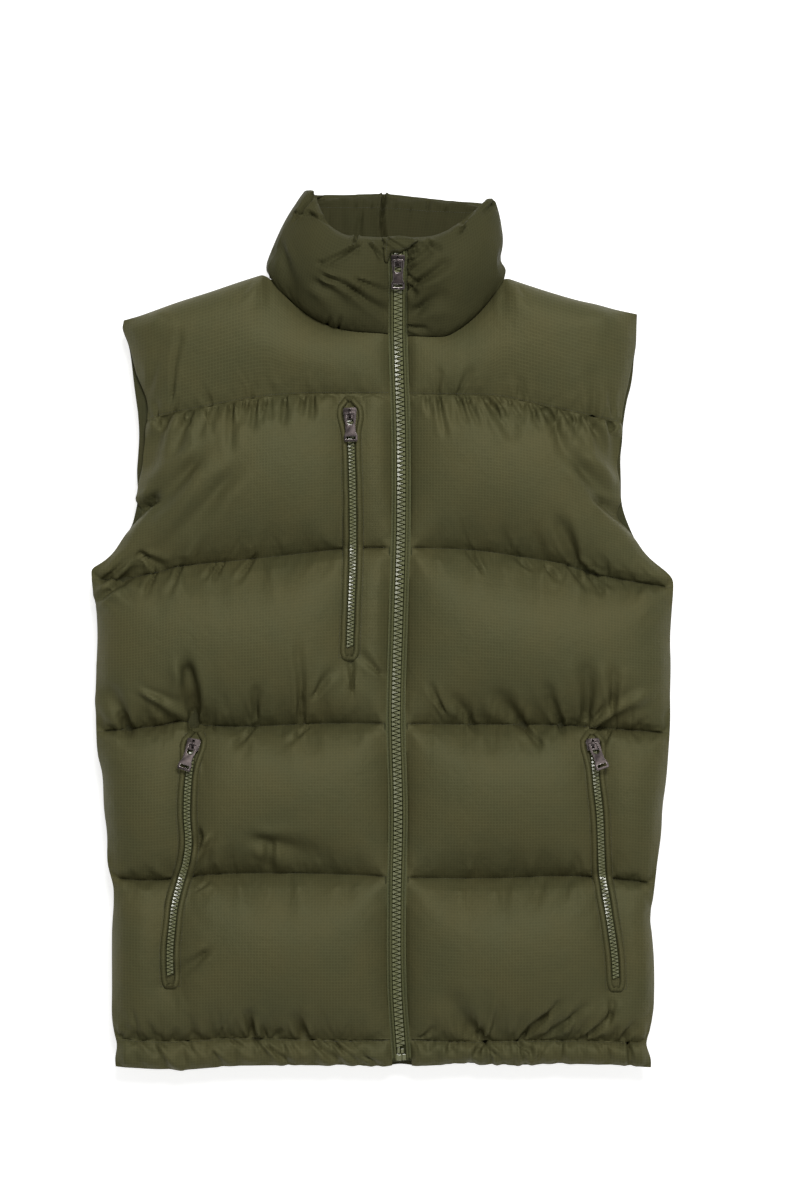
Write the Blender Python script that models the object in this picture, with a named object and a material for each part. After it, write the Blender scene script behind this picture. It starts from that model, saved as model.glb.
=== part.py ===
"""Quilted puffer vest, laid flat on its back with the zip closed.

Metres, +Z up, +Y towards the collar, X across. Right and left are the wearer's: the wearer's right lies at -X.
The back panel rests on the surface with its outer side down, and the two fronts lie on it with their outer side up.
"""

import math

import bmesh
import bpy
from mathutils import Matrix, Vector
from mathutils.bvhtree import BVHTree

MM = 0.001

# Driving dimensions
SEAM_GAP = 0.3 * MM
BACK_THICKNESS = 27 * MM  # the back pad between the surface and its own inside
BACK_PUFF = 37 * MM  # what the back pad would measure if nothing pressed on it
FRONT_PUFF = 34 * MM  # crown of a front channel above the inside
YOKE_PUFF = 30 * MM
HEM_PUFF = 13 * MM
SEAM_THICKNESS = 6 * MM  # cloth and pressed padding at a line of quilting
YOKE_JOIN = 19 * MM  # at the yoke seam, which is sewn before filling and so hardly dips
CHANNEL_LEAN = 0.85  # below 1, the filling lies nearer to the upper line of its channel
EDGE_THICKNESS = 4 * MM  # at a side seam, a shoulder seam or an armhole
NECK_EDGE = 8 * MM  # the yoke's thickness at the collar seam, past the zip's reach
SIDE_ROUND = 30 * MM  # how far in from a side seam the pad rolls over
SIDE_ROLL_SHARE, SIDE_RISE = 0.66, 110 * MM  # that roll's share of the front's rise, and how far the whole rise takes
ZIP_ROLL, ZIP_ROLL_SHARE = 8 * MM, 0.3  # the roll of cloth at the front edge and its share of the padding's rise
ZIP_RISE = 80 * MM  # how far in from the front edge the padding takes to reach its height
HEM_ZIP_ROUND = 14 * MM
ARMHOLE_ROUND = 46 * MM
ZIP_CHANNEL = 18 * MM  # between the two front edges
ZIP_EDGE_HEIGHT = 3.5 * MM  # front edge above the zip tape
TAPE_THICKNESS = 1 * MM
MAIN_CHAIN_WIDTH = 8.4 * MM
CHAIN_HEIGHT = 2.6 * MM
POCKET_CHAIN_WIDTH = 7.8 * MM
WELT_WIDTH = 4.6 * MM
WELT_HEIGHT = 3.2 * MM
PULL_LENGTH = 28 * MM
PULL_THICKNESS = 1.5 * MM

FRONT_COLUMNS = 28
BACK_COLUMNS = 34
ROWS_A_CHANNEL = 8
BACK_ROWS_A_CHANNEL = 7
COLLAR_TURN_STATIONS = 4

FRONT_INSIDE = BACK_THICKNESS + SEAM_GAP

# Lines across the garment, x then y in millimetres, from the wearer's right to the wearer's left
YOKE_SEAM = ((-222, 194), (-170, 204), (-120, 213), (-71, 217), (5, 217), (72, 216), (104, 215), (136, 209),
             (168, 202), (200, 195), (224, 190))
CHEST_SEAM = ((-271, 46), (-244, 46), (-216, 51), (-187, 58), (-149, 62), (-92, 68), (-37, 74), (16, 75),
              (83, 73), (140, 65), (168, 60), (196, 51), (225, 45), (268, 38))
WAIST_SEAM = ((-265, -96), (-206, -90), (-187, -86), (-164, -90), (-130, -91), (-45, -88), (63, -89),
              (168, -90), (225, -94), (264, -97))
HIP_SEAM = ((-250, -232), (-225, -234), (-198, -233), (-149, -228), (-54, -228), (54, -232), (111, -232),
            (168, -230), (208, -232), (252, -237))
HEM_SEAM = ((-248, -381), (-197, -383), (-140, -380), (-83, -381), (-35, -382), (25, -381), (73, -383),
            (160, -382), (206, -383), (246, -385))
HEM_EDGE = ((-249, -407), (-237, -408), (-207, -409.5), (-177, -409.5), (-147, -407), (-118, -406), (-43, -406),
            (-14, -406.5), (1, -407), (16, -405), (31, -406.5), (61, -405), (76, -404), (91, -405), (135, -406),
            (150, -404.5), (195, -405), (225, -406), (249, -408))
SHOULDER_RIGHT = ((-243, 286), (-226, 290.5), (-192, 302.5), (-159, 313), (-137, 320.5), (-118, 326.5),
                  (-104, 330))
SHOULDER_LEFT = ((109, 327), (120, 323.5), (154, 312.5), (180, 305), (198, 301), (217, 296), (237, 292))
NECKLINE = ((-104, 324), (-97, 315), (-84, 302), (-66, 288), (-46, 279), (-27, 275), (0, 273), (21, 271),
            (52, 270), (62, 272), (80, 284), (94, 298), (105, 313), (109, 323))
BACK_NECK_DIP = 5 * MM
NECK_X = {-1: -0.104, 1: 0.109}

# Side outlines, y then x in millimetres, from the shoulder to the hem
SIDE_RIGHT = ((292, -244), (287, -241), (279, -242), (264, -236.5), (251, -233), (236, -229), (222, -223),
              (209, -219), (195, -219), (178, -220), (161, -223), (138, -226), (121, -228), (108, -230.5),
              (95, -234), (82, -242.5), (69, -252), (61, -262), (56, -270), (49, -271), (30, -269), (17, -266.5),
              (-9, -265.5), (-35, -266.5), (-61, -267), (-100, -266.5), (-118, -265), (-135, -261),
              (-166, -259.5), (-192, -256.5), (-218, -256), (-243, -250.5), (-283, -252), (-335, -252),
              (-361, -252), (-375, -250), (-387, -247.5), (-400, -249), (-412, -248))
SIDE_LEFT = ((296, 236), (292, 236), (279, 235.5), (264, 235), (245, 231.5), (225, 227.5), (209, 224),
             (190, 221.5), (165, 220.5), (140, 220.5), (121, 221.5), (108, 224), (95, 229), (82, 235),
             (69, 244.5), (61, 253), (54, 262), (47, 268.5), (40, 270), (17, 268.5), (-9, 267), (-35, 267.5),
             (-61, 267), (-87, 267), (-113, 265.5), (-139, 263.5), (-166, 260), (-192, 258.5), (-218, 255),
             (-244, 252), (-270, 248.5), (-283, 250), (-309, 252), (-348, 252), (-361, 250.5), (-375, 248),
             (-386, 245), (-400, 249), (-412, 249))
# The back reaches a little past the fronts at the armholes
BACK_ARMHOLE = {
    -1: ((292, -244), (287, -241.5), (279, -242.5), (264, -237), (251, -234.5), (225, -231.5), (212, -229.7),
         (199, -228), (180, -227), (160, -228), (147, -229), (134, -228.5)),
    1: ((296, 237), (292, 236.5), (279, 236), (264, 235.5), (251, 233.5), (238, 232.5), (225, 230.5), (212, 227),
        (190, 223.5), (173, 222.5), (160, 221), (134, 221.5)),
}

# The closed zip: y, x and the tape's height, in millimetres
ZIP_PATH = ((-404, 17.6, 32), (-331, 13, 40), (-252, 12.6, 42), (-169, 14, 42), (-80, 12, 42), (3, 14, 42),
            (92, 16.7, 42), (175, 16.7, 43), (235, 15, 44), (272, 14, 46), (294, 14, 51), (315, 14, 57.5),
            (337, 14, 62), (358, 14, 64))
ZIP_TOP, ZIP_BOTTOM, ZIP_STATIONS = 0.352, -0.401, 40

# Pocket zips, top to bottom: y and x in millimetres
CHEST_POCKET = ((215, -31), (175, -29.5), (120, -28), (64, -28), (17, -29.5), (-11, -30.5), (-25, -31))
HAND_POCKET_RIGHT = ((-95, -173.5), (-136, -179.5), (-170, -181.4), (-198, -180), (-216, -182.3),
                     (-232, -187), (-254, -192.5), (-273, -194.8), (-299, -197), (-329, -196.5))
HAND_POCKET_LEFT = ((-95, 193.5), (-113, 195), (-141, 197.2), (-171, 200.5), (-207, 202.2), (-226, 203.3),
                    (-245, 206), (-264, 209), (-302, 214.3), (-332, 216))
POCKET_PRESS, POCKET_PRESS_WIDTH = 0.36, 17 * MM

# Largest folds of the fronts: middle x and y, half length, half width and depth in millimetres, and the
# angle in degrees from +X. A negative depth is a ridge.
FOLDS = (
    (-200, 165, 26, 7, 3.0, 62), (-188, 160, 32, 7, 3.0, 58), (-166, 165, 24, 7, 2.6, 60),
    (-143, 178, 18, 7, 2.4, 80), (-210, 62, 14, 8, 3.5, 80), (-172, -62, 26, 12, 6.0, 88),
    (-196, -72, 20, 7, -2.4, -28), (-119, -68, 16, 12, 3.0, 90), (-76, -62, 24, 8, 3.0, 90),
    (-14, -52, 22, 7, 2.5, -55), (-118, -358, 18, 8, 4.0, -55), (-70, -362, 16, 8, 3.0, -50),
    (-165, -306, 28, 8, 3.0, 28), (-177, -208, 20, 8, -3.0, 60), (-214, -330, 18, 8, 2.5, 20),
    (190, 246, 26, 9, 2.4, -70), (119, 198, 16, 7, 2.4, -60), (148, 192, 18, 7, 2.4, -50),
    (185, 178, 28, 7, 3.0, -45), (208, 168, 22, 7, 2.6, -55), (172, 78, 18, 9, 4.0, -70),
    (187, -58, 24, 10, 5.0, 90), (216, -62, 24, 12, 5.0, -80), (208, -76, 20, 6, -3.0, 38),
    (258, -8, 18, 12, 4.0, -60), (88, -362, 30, 10, 5.0, 48), (138, -368, 24, 8, 4.0, 44),
    (172, -352, 30, 8, 3.0, 42), (30, -372, 16, 8, 3.0, -60),
)
# Gathers along each line of quilting: wavelengths in millimetres and a start
GATHERS = ((27, 17, 0.0), (31, 19, 1.9), (34, 21, 3.1), (29, 18, 4.4), (26, 17, 5.6))
GATHER_DEPTH, GATHER_REACH = 2.2 * MM, 24 * MM
HEM_GATHER_DEPTH, HEM_GATHER_LENGTH = 1.6 * MM, 23 * MM

# The collar's free edge round the neck: x, y and z in millimetres, how far the wall bows out, how far its rim
# curls in and the share of its full padding. It runs from the zip over the wearer's right shoulder and the back
# to the zip.
COLLAR_EDGE = (
    (4.8, 358, 63, 6.5, 2, 1), (-15, 359, 68, 12, 7, 1), (-35, 367, 69, 16, 8, 1), (-52, 382, 64, 16, 6, 1),
    (-63, 397, 55, 12, 3, 0.95), (-71, 404, 44, 7, 1, 0.85), (-75, 402, 30, 4, 0, 0.75),
    (-67, 404, 18, 2, 0, 0.75), (-40, 404, 13, 0, 0, 0.75), (2, 404, 12, 0, 0, 0.75),
    (44, 400, 12, 0, 0, 0.75), (86, 397, 14, 0, 0, 0.7), (101, 394, 26, 0, 0, 0.6), (102, 393, 40, 2, 0, 0.6),
    (97, 391, 52, 9, 2, 0.75), (86, 380, 61, 15, 5, 0.95), (70, 367, 67, 16, 8, 1), (48, 357, 68, 13, 8, 1),
    (23.2, 357, 63, 6.5, 2, 1),
)
COLLAR_PUFF, COLLAR_RIM_PUFF, COLLAR_INSIDE = 10 * MM, 5 * MM, 4 * MM
COLLAR_STITCH = 0.79  # share of the collar's height where its rim band is stitched

# The chin guard's edge in plan, x and y in millimetres, from its lower left corner round to the right
GUARD_LOWER = ((-0.5, 353), (3, 348), (8, 345.7), (14, 345.6), (20, 346), (27, 350), (32.5, 355.5))
GUARD_UPPER = ((-1, 358.4), (4, 360.4), (9, 361.2), (15, 361.4), (21, 360.8), (27, 359.6), (33, 357.4))
GUARD_PUFF = 5 * MM

OLIVE = (0.085, 0.088, 0.036, 1)
OLIVE_TAPE = (0.062, 0.075, 0.034, 1)
GUNMETAL = (0.16, 0.13, 0.13, 1)


# ---------------------------------------------------------------- curves and small helpers

def smooth(table, unit=MM):
    """A function through the table's points: Hermite pieces with Catmull-Rom slopes."""
    points = sorted((a * unit, b * unit) for a, b in table)
    xs = [p[0] for p in points]
    ys = [p[1] for p in points]
    last = len(points) - 1
    slopes = []
    for i in range(last + 1):
        low, high = max(i - 1, 0), min(i + 1, last)
        slopes.append((ys[high] - ys[low]) / (xs[high] - xs[low]))

    def value(x):
        if x <= xs[0]:
            return ys[0]
        if x >= xs[last]:
            return ys[last]
        i = max(k for k in range(last) if xs[k] <= x)
        span = xs[i + 1] - xs[i]
        t = (x - xs[i]) / span
        level = ys[i] * (1 + 2 * t) * (1 - t) ** 2 + ys[i + 1] * t * t * (3 - 2 * t)
        return level + span * t * (1 - t) * (slopes[i] * (1 - t) - slopes[i + 1] * t)

    return value


def rounded(distance, reach):
    """From 0 at an edge to 1 at reach and past it, along a quarter ellipse."""
    t = min(max(distance / reach, 0), 1)
    return math.sqrt(1 - (1 - t) ** 2)


def crown(share):
    """0 at both lines of a channel and 1 between them."""
    t = min(abs(2 * share - 1), 1)
    return (1 - t ** 2.2) ** 0.72


def rise(distance, roll, roll_share, reach):
    """From 0 at a pad's edge to 1 at reach: a quick roll at the edge, then a long even rise."""
    t = min(max(distance / reach, 0), 1)
    return roll_share * rounded(distance, roll) + (1 - roll_share) * t * (2 - t)


yoke_seam, chest_seam, waist_seam = smooth(YOKE_SEAM), smooth(CHEST_SEAM), smooth(WAIST_SEAM)
hip_seam, hem_seam, hem_edge = smooth(HIP_SEAM), smooth(HEM_SEAM), smooth(HEM_EDGE)
shoulder = {-1: smooth(SHOULDER_RIGHT), 1: smooth(SHOULDER_LEFT)}
neckline = smooth(NECKLINE)
side_edge = {-1: smooth(SIDE_RIGHT), 1: smooth(SIDE_LEFT)}
back_edge = {side: smooth(BACK_ARMHOLE[side] + tuple(row for row in table if row[0] < 125))
             for side, table in ((-1, SIDE_RIGHT), (1, SIDE_LEFT))}
zip_x = smooth([(y, x) for y, x, z in ZIP_PATH])
zip_z = smooth([(y, z) for y, x, z in ZIP_PATH])
pocket_x = {"chest": smooth(CHEST_POCKET), "right": smooth(HAND_POCKET_RIGHT), "left": smooth(HAND_POCKET_LEFT)}
pocket_ends = {"chest": (0.2145, -0.025), "right": (-0.0935, -0.329), "left": (-0.0945, -0.332)}


def zip_side(side, y):
    """The front edge beside the zip."""
    return zip_x(y) + side * ZIP_CHANNEL / 2


def front_top(side, x):
    """The front yoke's upper edge: the neckline, then the shoulder seam."""
    return shoulder[side](x) if side * x > side * NECK_X[side] else neckline(x)


def back_line(seam):
    """A line of quilting on the back: straight between the ends of the front's line."""
    ends = [seam(side * 0.3) for side in (-1, 1)]
    return lambda x: ends[0] + (ends[1] - ends[0]) * (x + 0.27) / 0.54


def back_top(x):
    for side in (-1, 1):
        if side * x > side * NECK_X[side]:
            return shoulder[side](x)
    middle, half = sum(NECK_X.values()) / 2, (NECK_X[1] - NECK_X[-1]) / 2
    return 0.324 - BACK_NECK_DIP * (1 - ((x - middle) / half) ** 2)


def across(start, end, line, share):
    """The point at that share of the way from the start edge to the end edge, along line y(x)."""
    ends = []
    for edge in (start, end):
        y = line(edge(0.0))
        for _ in range(5):
            y = line(edge(y))
        ends.append(edge(y))
    x = ends[0] + (ends[1] - ends[0]) * share
    return x, line(x), ends


# ---------------------------------------------------------------- pad heights above the plain inside

def pocket_press(x, y):
    """How much of the padding is left beside a pocket zip."""
    left = 1.0
    for name, path in pocket_x.items():
        top, bottom = pocket_ends[name]
        over = max(y - top, bottom - y, 0)
        away = math.hypot(x - path(y), over)
        left -= POCKET_PRESS * math.exp(-(away / POCKET_PRESS_WIDTH) ** 2)
    return left


def fold_depth(x, y):
    depth = 0.0
    for fold_x, fold_y, long, wide, deep, turn in FOLDS:
        dx, dy = x / MM - fold_x, y / MM - fold_y
        c, s = math.cos(math.radians(turn)), math.sin(math.radians(turn))
        depth += deep * MM * math.exp(-((dx * c + dy * s) / long) ** 2 - ((dy * c - dx * s) / wide) ** 2)
    return depth


def gather(x, distance, seam, sign):
    """Gathers that run out from a line of quilting, strongest a few millimetres away from it."""
    first, second, start = GATHERS[seam]
    wave = math.sin(2 * math.pi * x / (first * MM) + start + sign)
    wave += 0.7 * math.sin(2 * math.pi * x / (second * MM) + 2.3 * start - sign)
    return GATHER_DEPTH * wave * min(distance / (6 * MM), 1) * math.exp(-distance / GATHER_REACH)


def front_height(side, x, y, ends, channel, share, length):
    """Outer cloth of a front panel above the inside. share runs from the channel's upper line to its lower."""
    to_side, to_zip = abs(ends[1] - x), abs(x - ends[0])
    zip_height = zip_z(y) + ZIP_EDGE_HEIGHT - FRONT_INSIDE
    seam = SEAM_THICKNESS + (YOKE_JOIN - SEAM_THICKNESS) * (1 - share) ** 2 * (channel == 0)
    full = seam + (FRONT_PUFF - seam) * crown(share ** CHANNEL_LEAN) * pocket_press(x, y)
    full += gather(x, share * length, channel, 1) + gather(x, (1 - share) * length, channel + 1, -1)
    full -= fold_depth(x, y) * crown(share)
    round_over = ARMHOLE_ROUND if y > 0.06 else SIDE_ROUND
    height = EDGE_THICKNESS + (full - EDGE_THICKNESS) * rise(to_side, round_over, SIDE_ROLL_SHARE, SIDE_RISE)
    return zip_height + (height - zip_height) * rise(to_zip, ZIP_ROLL, ZIP_ROLL_SHARE, ZIP_RISE)


def yoke_height(side, x, y, ends, share, length):
    """share runs from the yoke seam to the neckline and shoulder."""
    to_side, to_zip = abs(ends[1] - x), abs(x - ends[0])
    zip_height = zip_z(y) + ZIP_EDGE_HEIGHT - FRONT_INSIDE
    past_neck = max(side * x - side * NECK_X[side], 0)
    top = EDGE_THICKNESS + (neck_height(side, x) - EDGE_THICKNESS) * math.exp(-(past_neck / (12 * MM)) ** 2)
    seam = YOKE_JOIN * (1 - share) + top * share
    full = seam + max(YOKE_PUFF - seam, 0) * crown(share * 0.96)
    full += gather(x, share * length, 0, -1) * 0.5 - fold_depth(x, y) * crown(share)
    height = EDGE_THICKNESS + (full - EDGE_THICKNESS) * rise(to_side, ARMHOLE_ROUND, SIDE_ROLL_SHARE, SIDE_RISE)
    return zip_height + (height - zip_height) * rise(to_zip, ZIP_ROLL, ZIP_ROLL_SHARE, ZIP_RISE)


def hem_height(x, ends, share, zip_height=None):
    gathers = HEM_GATHER_DEPTH * math.sin(2 * math.pi * (x / HEM_GATHER_LENGTH - 0.5 * share))
    full = EDGE_THICKNESS + (HEM_PUFF - EDGE_THICKNESS + gathers) * crown(0.04 + share * 0.92)
    height = EDGE_THICKNESS + (full - EDGE_THICKNESS) * rounded(abs(ends[1] - x), SIDE_ROUND / 2)
    if zip_height is None:
        return EDGE_THICKNESS + (height - EDGE_THICKNESS) * rounded(abs(ends[0] - x), SIDE_ROUND / 2)
    return zip_height + (height - zip_height) * rounded(abs(x - ends[0]), HEM_ZIP_ROUND)


# ---------------------------------------------------------------- making objects

def material(name, colour, roughness, metallic=0.0):
    made = bpy.data.materials.new(name)
    made.use_nodes = True
    shader = made.node_tree.nodes["Principled BSDF"]
    shader.inputs["Base Color"].default_value = colour
    shader.inputs["Roughness"].default_value = roughness
    shader.inputs["Metallic"].default_value = metallic
    made.diffuse_color = colour
    return made


def new_object(name, mesh_builder, finish):
    """A named object in the vest's collection from a filled bmesh."""
    mesh = bpy.data.meshes.new(name)
    mesh_builder.to_mesh(mesh)
    mesh_builder.free()
    made = bpy.data.objects.new(name, mesh)
    made.data.materials.append(finish)
    vest.objects.link(made)
    return made


def pad(name, columns, rows, place, inside, finish):
    """A quilted pad: its outer side is a grid put in place, and its inside is flat at height inside."""
    build = bmesh.new()
    bmesh.ops.create_grid(build, x_segments=columns, y_segments=rows, size=0.5)
    for vertex in build.verts:
        vertex.co = place(vertex.co.x + 0.5, vertex.co.y + 0.5)
    rim = [edge for edge in build.edges if edge.is_boundary]
    dropped = bmesh.ops.extrude_edge_only(build, edges=rim)["geom"]
    for vertex in (v for v in dropped if isinstance(v, bmesh.types.BMVert)):
        vertex.co.z = inside
    bmesh.ops.holes_fill(build, edges=[edge for edge in build.edges if edge.is_boundary], sides=0)
    bmesh.ops.recalc_face_normals(build, faces=build.faces)
    return new_object(name, build, finish)


def loft(name, rings, finish, closed=False):
    """Rings of equally many points joined in order, capped at both ends unless they close on themselves."""
    build = bmesh.new()
    loops = [[build.verts.new(point) for point in ring] for ring in rings]
    pairs = list(zip(loops, loops[1:] + loops[:1])) if closed else list(zip(loops, loops[1:]))
    count = len(rings[0])
    for lower, upper in pairs:
        for i in range(count):
            j = (i + 1) % count
            build.faces.new((lower[i], lower[j], upper[j], upper[i]))
    if not closed:
        build.faces.new(loops[0])
        build.faces.new(loops[-1])
    bmesh.ops.recalc_face_normals(build, faces=build.faces)
    return new_object(name, build, finish)


def surface_of(*pads):
    """A function that gives the height of the highest of these at a place."""
    graph = bpy.context.evaluated_depsgraph_get()
    trees = [BVHTree.FromObject(one, graph) for one in pads]

    def height(x, y):
        found = [tree.ray_cast(Vector((x, y, 1)), Vector((0, 0, -1)))[0] for tree in trees]
        return max((hit.z for hit in found if hit), default=None)

    return height


# ---------------------------------------------------------------- fronts, yokes and hems

CHANNELS = ((yoke_seam, chest_seam), (chest_seam, waist_seam), (waist_seam, hip_seam), (hip_seam, hem_seam))
SIDE_NAMES = {-1: "right", 1: "left"}


def front_place(side):
    rows = len(CHANNELS) * ROWS_A_CHANNEL

    def place(u, v):
        row = round((1 - v) * rows)
        channel = min(row // ROWS_A_CHANNEL, len(CHANNELS) - 1)
        share = row / ROWS_A_CHANNEL - channel
        share = 0.5 - 0.5 * math.cos(math.pi * share) * (0.72 + 0.28 * math.cos(math.pi * share) ** 2)
        upper, lower = CHANNELS[channel]
        gap = SEAM_GAP / 2 * ((row == 0) - (row == rows))

        def line(x):
            return (1 - share) * upper(x) + share * lower(x) - gap

        x, y, ends = across(lambda at: zip_side(side, at), side_edge[side], line, u)
        length = abs(upper(x) - lower(x))
        return x, y, FRONT_INSIDE + front_height(side, x, y, ends, channel, share, length)

    return place


def yoke_place(side, columns):
    """The neck corner falls on a column, so the neckline and the shoulder both start at a vertex."""
    def place(u, v):
        def edge_in(y):
            return zip_side(side, y)

        def line(x):
            return (1 - v) * yoke_seam(x) + v * front_top(side, x) + SEAM_GAP / 2 * (v == 0)

        _, _, ends = across(edge_in, side_edge[side], line, u)
        corner = neck_column(side) / columns
        corner_x = (NECK_X[side] - ends[0]) / (ends[1] - ends[0])
        bent = u / corner * corner_x if u <= corner else corner_x + (u - corner) / (1 - corner) * (1 - corner_x)
        x = ends[0] + (ends[1] - ends[0]) * ((1 - v) * u + v * bent)
        y = line(x)
        if abs(u - corner) < 1e-6 and v > 0.999:
            y = neckline(NECK_X[side])
        length = abs(front_top(side, x) - yoke_seam(x))
        return x, y, FRONT_INSIDE + yoke_height(side, x, y, ends, v, length)

    return place


def neck_column(side):
    """The column of the front yoke at the corner of neckline and shoulder."""
    y = neckline(NECK_X[side])
    width = side_edge[side](0.29) - zip_side(side, 0.272)
    return round((NECK_X[side] - zip_side(side, y)) / width * FRONT_COLUMNS)


def front_hem_place(side):
    def place(u, v):
        def line(x):
            return (1 - v) * hem_edge(x) + v * (hem_seam(x) - SEAM_GAP / 2)

        x, y, ends = across(lambda at: zip_side(side, at), side_edge[side], line, u)
        zip_height = zip_z(y) + ZIP_EDGE_HEIGHT - FRONT_INSIDE
        return x, y, FRONT_INSIDE + hem_height(x, ends, 1 - v, zip_height)

    return place


# ---------------------------------------------------------------- back

BACK_LINES = [back_top, back_line(yoke_seam), back_line(chest_seam), back_line(waist_seam), back_line(hip_seam),
              hem_seam]


def back_corner_columns():
    width = NECK_X[1] - NECK_X[-1]
    whole = back_edge[1](0.292) - back_edge[-1](0.287)
    first = round((NECK_X[-1] - back_edge[-1](0.287)) / whole * BACK_COLUMNS)
    return first, first + round(width / whole * BACK_COLUMNS)


def back_share(u, ends, towards_top):
    """Across the back, bent so that both neck corners fall on a column along the top edge."""
    corners = [c / BACK_COLUMNS for c in back_corner_columns()]
    marks = [0, corners[0], corners[1], 1]
    whole = ends[1] - ends[0]
    goals = [0, (NECK_X[-1] - ends[0]) / whole, (NECK_X[1] - ends[0]) / whole, 1]
    for low in range(3):
        if u <= marks[low + 1] + 1e-9:
            part = (u - marks[low]) / (marks[low + 1] - marks[low])
            bent = goals[low] + part * (goals[low + 1] - goals[low])
            return (1 - towards_top) * u + towards_top * bent
    return u


def back_place(u, v):
    rows = (len(BACK_LINES) - 1) * BACK_ROWS_A_CHANNEL
    row = round((1 - v) * rows)
    channel = min(row // BACK_ROWS_A_CHANNEL, len(BACK_LINES) - 2)
    share = row / BACK_ROWS_A_CHANNEL - channel
    share = 0.5 - 0.5 * math.cos(math.pi * share)
    upper, lower = BACK_LINES[channel], BACK_LINES[channel + 1]
    gap = SEAM_GAP / 2 if row == rows else 0

    def line(x):
        return (1 - share) * upper(x) + share * lower(x) + gap

    _, _, ends = across(back_edge[-1], back_edge[1], line, u)
    towards_top = 1 - share if channel == 0 else 0
    x = ends[0] + (ends[1] - ends[0]) * back_share(u, ends, towards_top)
    y = line(x)
    if row == 0 and round(u * BACK_COLUMNS) in back_corner_columns():
        y = back_top(x)
    length = abs(upper(x) - lower(x))
    full = SEAM_THICKNESS + (BACK_PUFF - SEAM_THICKNESS) * crown(share)
    if channel:
        full += gather(x, share * length, channel - 1, 2)
    if channel < len(BACK_LINES) - 2:
        full += gather(x, (1 - share) * length, channel, -2)
    if row == 0:
        full = EDGE_THICKNESS
    round_over = ARMHOLE_ROUND if y > 0.06 else SIDE_ROUND
    height = EDGE_THICKNESS + (full - EDGE_THICKNESS) * rounded(min(x - ends[0], ends[1] - x), round_over)
    return x, y, max(BACK_THICKNESS - height, 0)


def back_hem_place(u, v):
    def line(x):
        return (1 - v) * hem_edge(x) + v * (hem_seam(x) - SEAM_GAP / 2)

    x, y, ends = across(back_edge[-1], back_edge[1], line, u)
    return x, y, BACK_THICKNESS - hem_height(x, ends, 1 - v)


# ---------------------------------------------------------------- collar

def along_table(table, share):
    """A row between the table's rows, Catmull-Rom, at a share of the way through them."""
    last = len(table) - 1
    place = min(max(share, 0), 1) * last
    i = min(int(place), last - 1)
    t = place - i
    rows = [table[min(max(k, 0), last)] for k in (i - 1, i, i + 1, i + 2)]
    mixed = []
    for a, b, c, d in zip(*rows):
        mixed.append(0.5 * (2 * b + (c - a) * t + (2 * a - 5 * b + 4 * c - d) * t * t
                            + (3 * b - a - 3 * c + d) * t ** 3))
    return mixed


def neck_height(side, x):
    """The yoke's thickness where the collar is sewn on: most beside the zip."""
    to_zip = abs(x - zip_side(side, 0.272))
    return NECK_EDGE + (zip_z(0.272) + ZIP_EDGE_HEIGHT - FRONT_INSIDE - NECK_EDGE) * max(1 - to_zip / 0.08, 0)


def neck_stations():
    """Where the collar is sewn on, from the zip over the right shoulder and the back to the zip.

    Each station is a point in the middle of the seam, the way its outer side faces and its half thickness.
    """
    stations = {-1: [], 1: []}
    clear = Vector((0, 2 * SEAM_GAP, 0))
    for side in (-1, 1):
        place = yoke_place(side, FRONT_COLUMNS)
        for column in range(neck_column(side) + 1):
            x, y, z = place(column / FRONT_COLUMNS, 1)
            half = (z - FRONT_INSIDE) / 2 - 0.5 * MM
            stations[side].append((Vector((x, y, z - half - 0.5 * MM)) + clear, Vector((0, 0, 1)), half))
    first, last = back_corner_columns()
    back = []
    for column in range(first, last + 1):
        x, y, _ = back_place(column / BACK_COLUMNS, 1)
        back.append((Vector((x, y, BACK_THICKNESS - 3.2 * MM)) + clear, Vector((0, 0, -1)), 2.6 * MM))
    right = stations[-1] + corner_turn(stations[-1][-1], back[0], -1)
    return right + back + corner_turn(back[-1], stations[1][-1], 1) + stations[1][::-1]


def corner_turn(start, end, side):
    """Stations between the front's neck corner and the back's, which lie one above the other."""
    turned = []
    for i in range(1, COLLAR_TURN_STATIONS):
        share = i / COLLAR_TURN_STATIONS
        swing = math.sin(math.pi * share)
        point = start[0].lerp(end[0], share) + Vector((-side * 4 * MM * swing, MM * swing, 0))
        face = Vector((side * swing, 0, start[1].z * math.cos(math.pi * share)))
        turned.append((point, face.normalized(), start[2] + (end[2] - start[2]) * share))
    return turned


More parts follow.
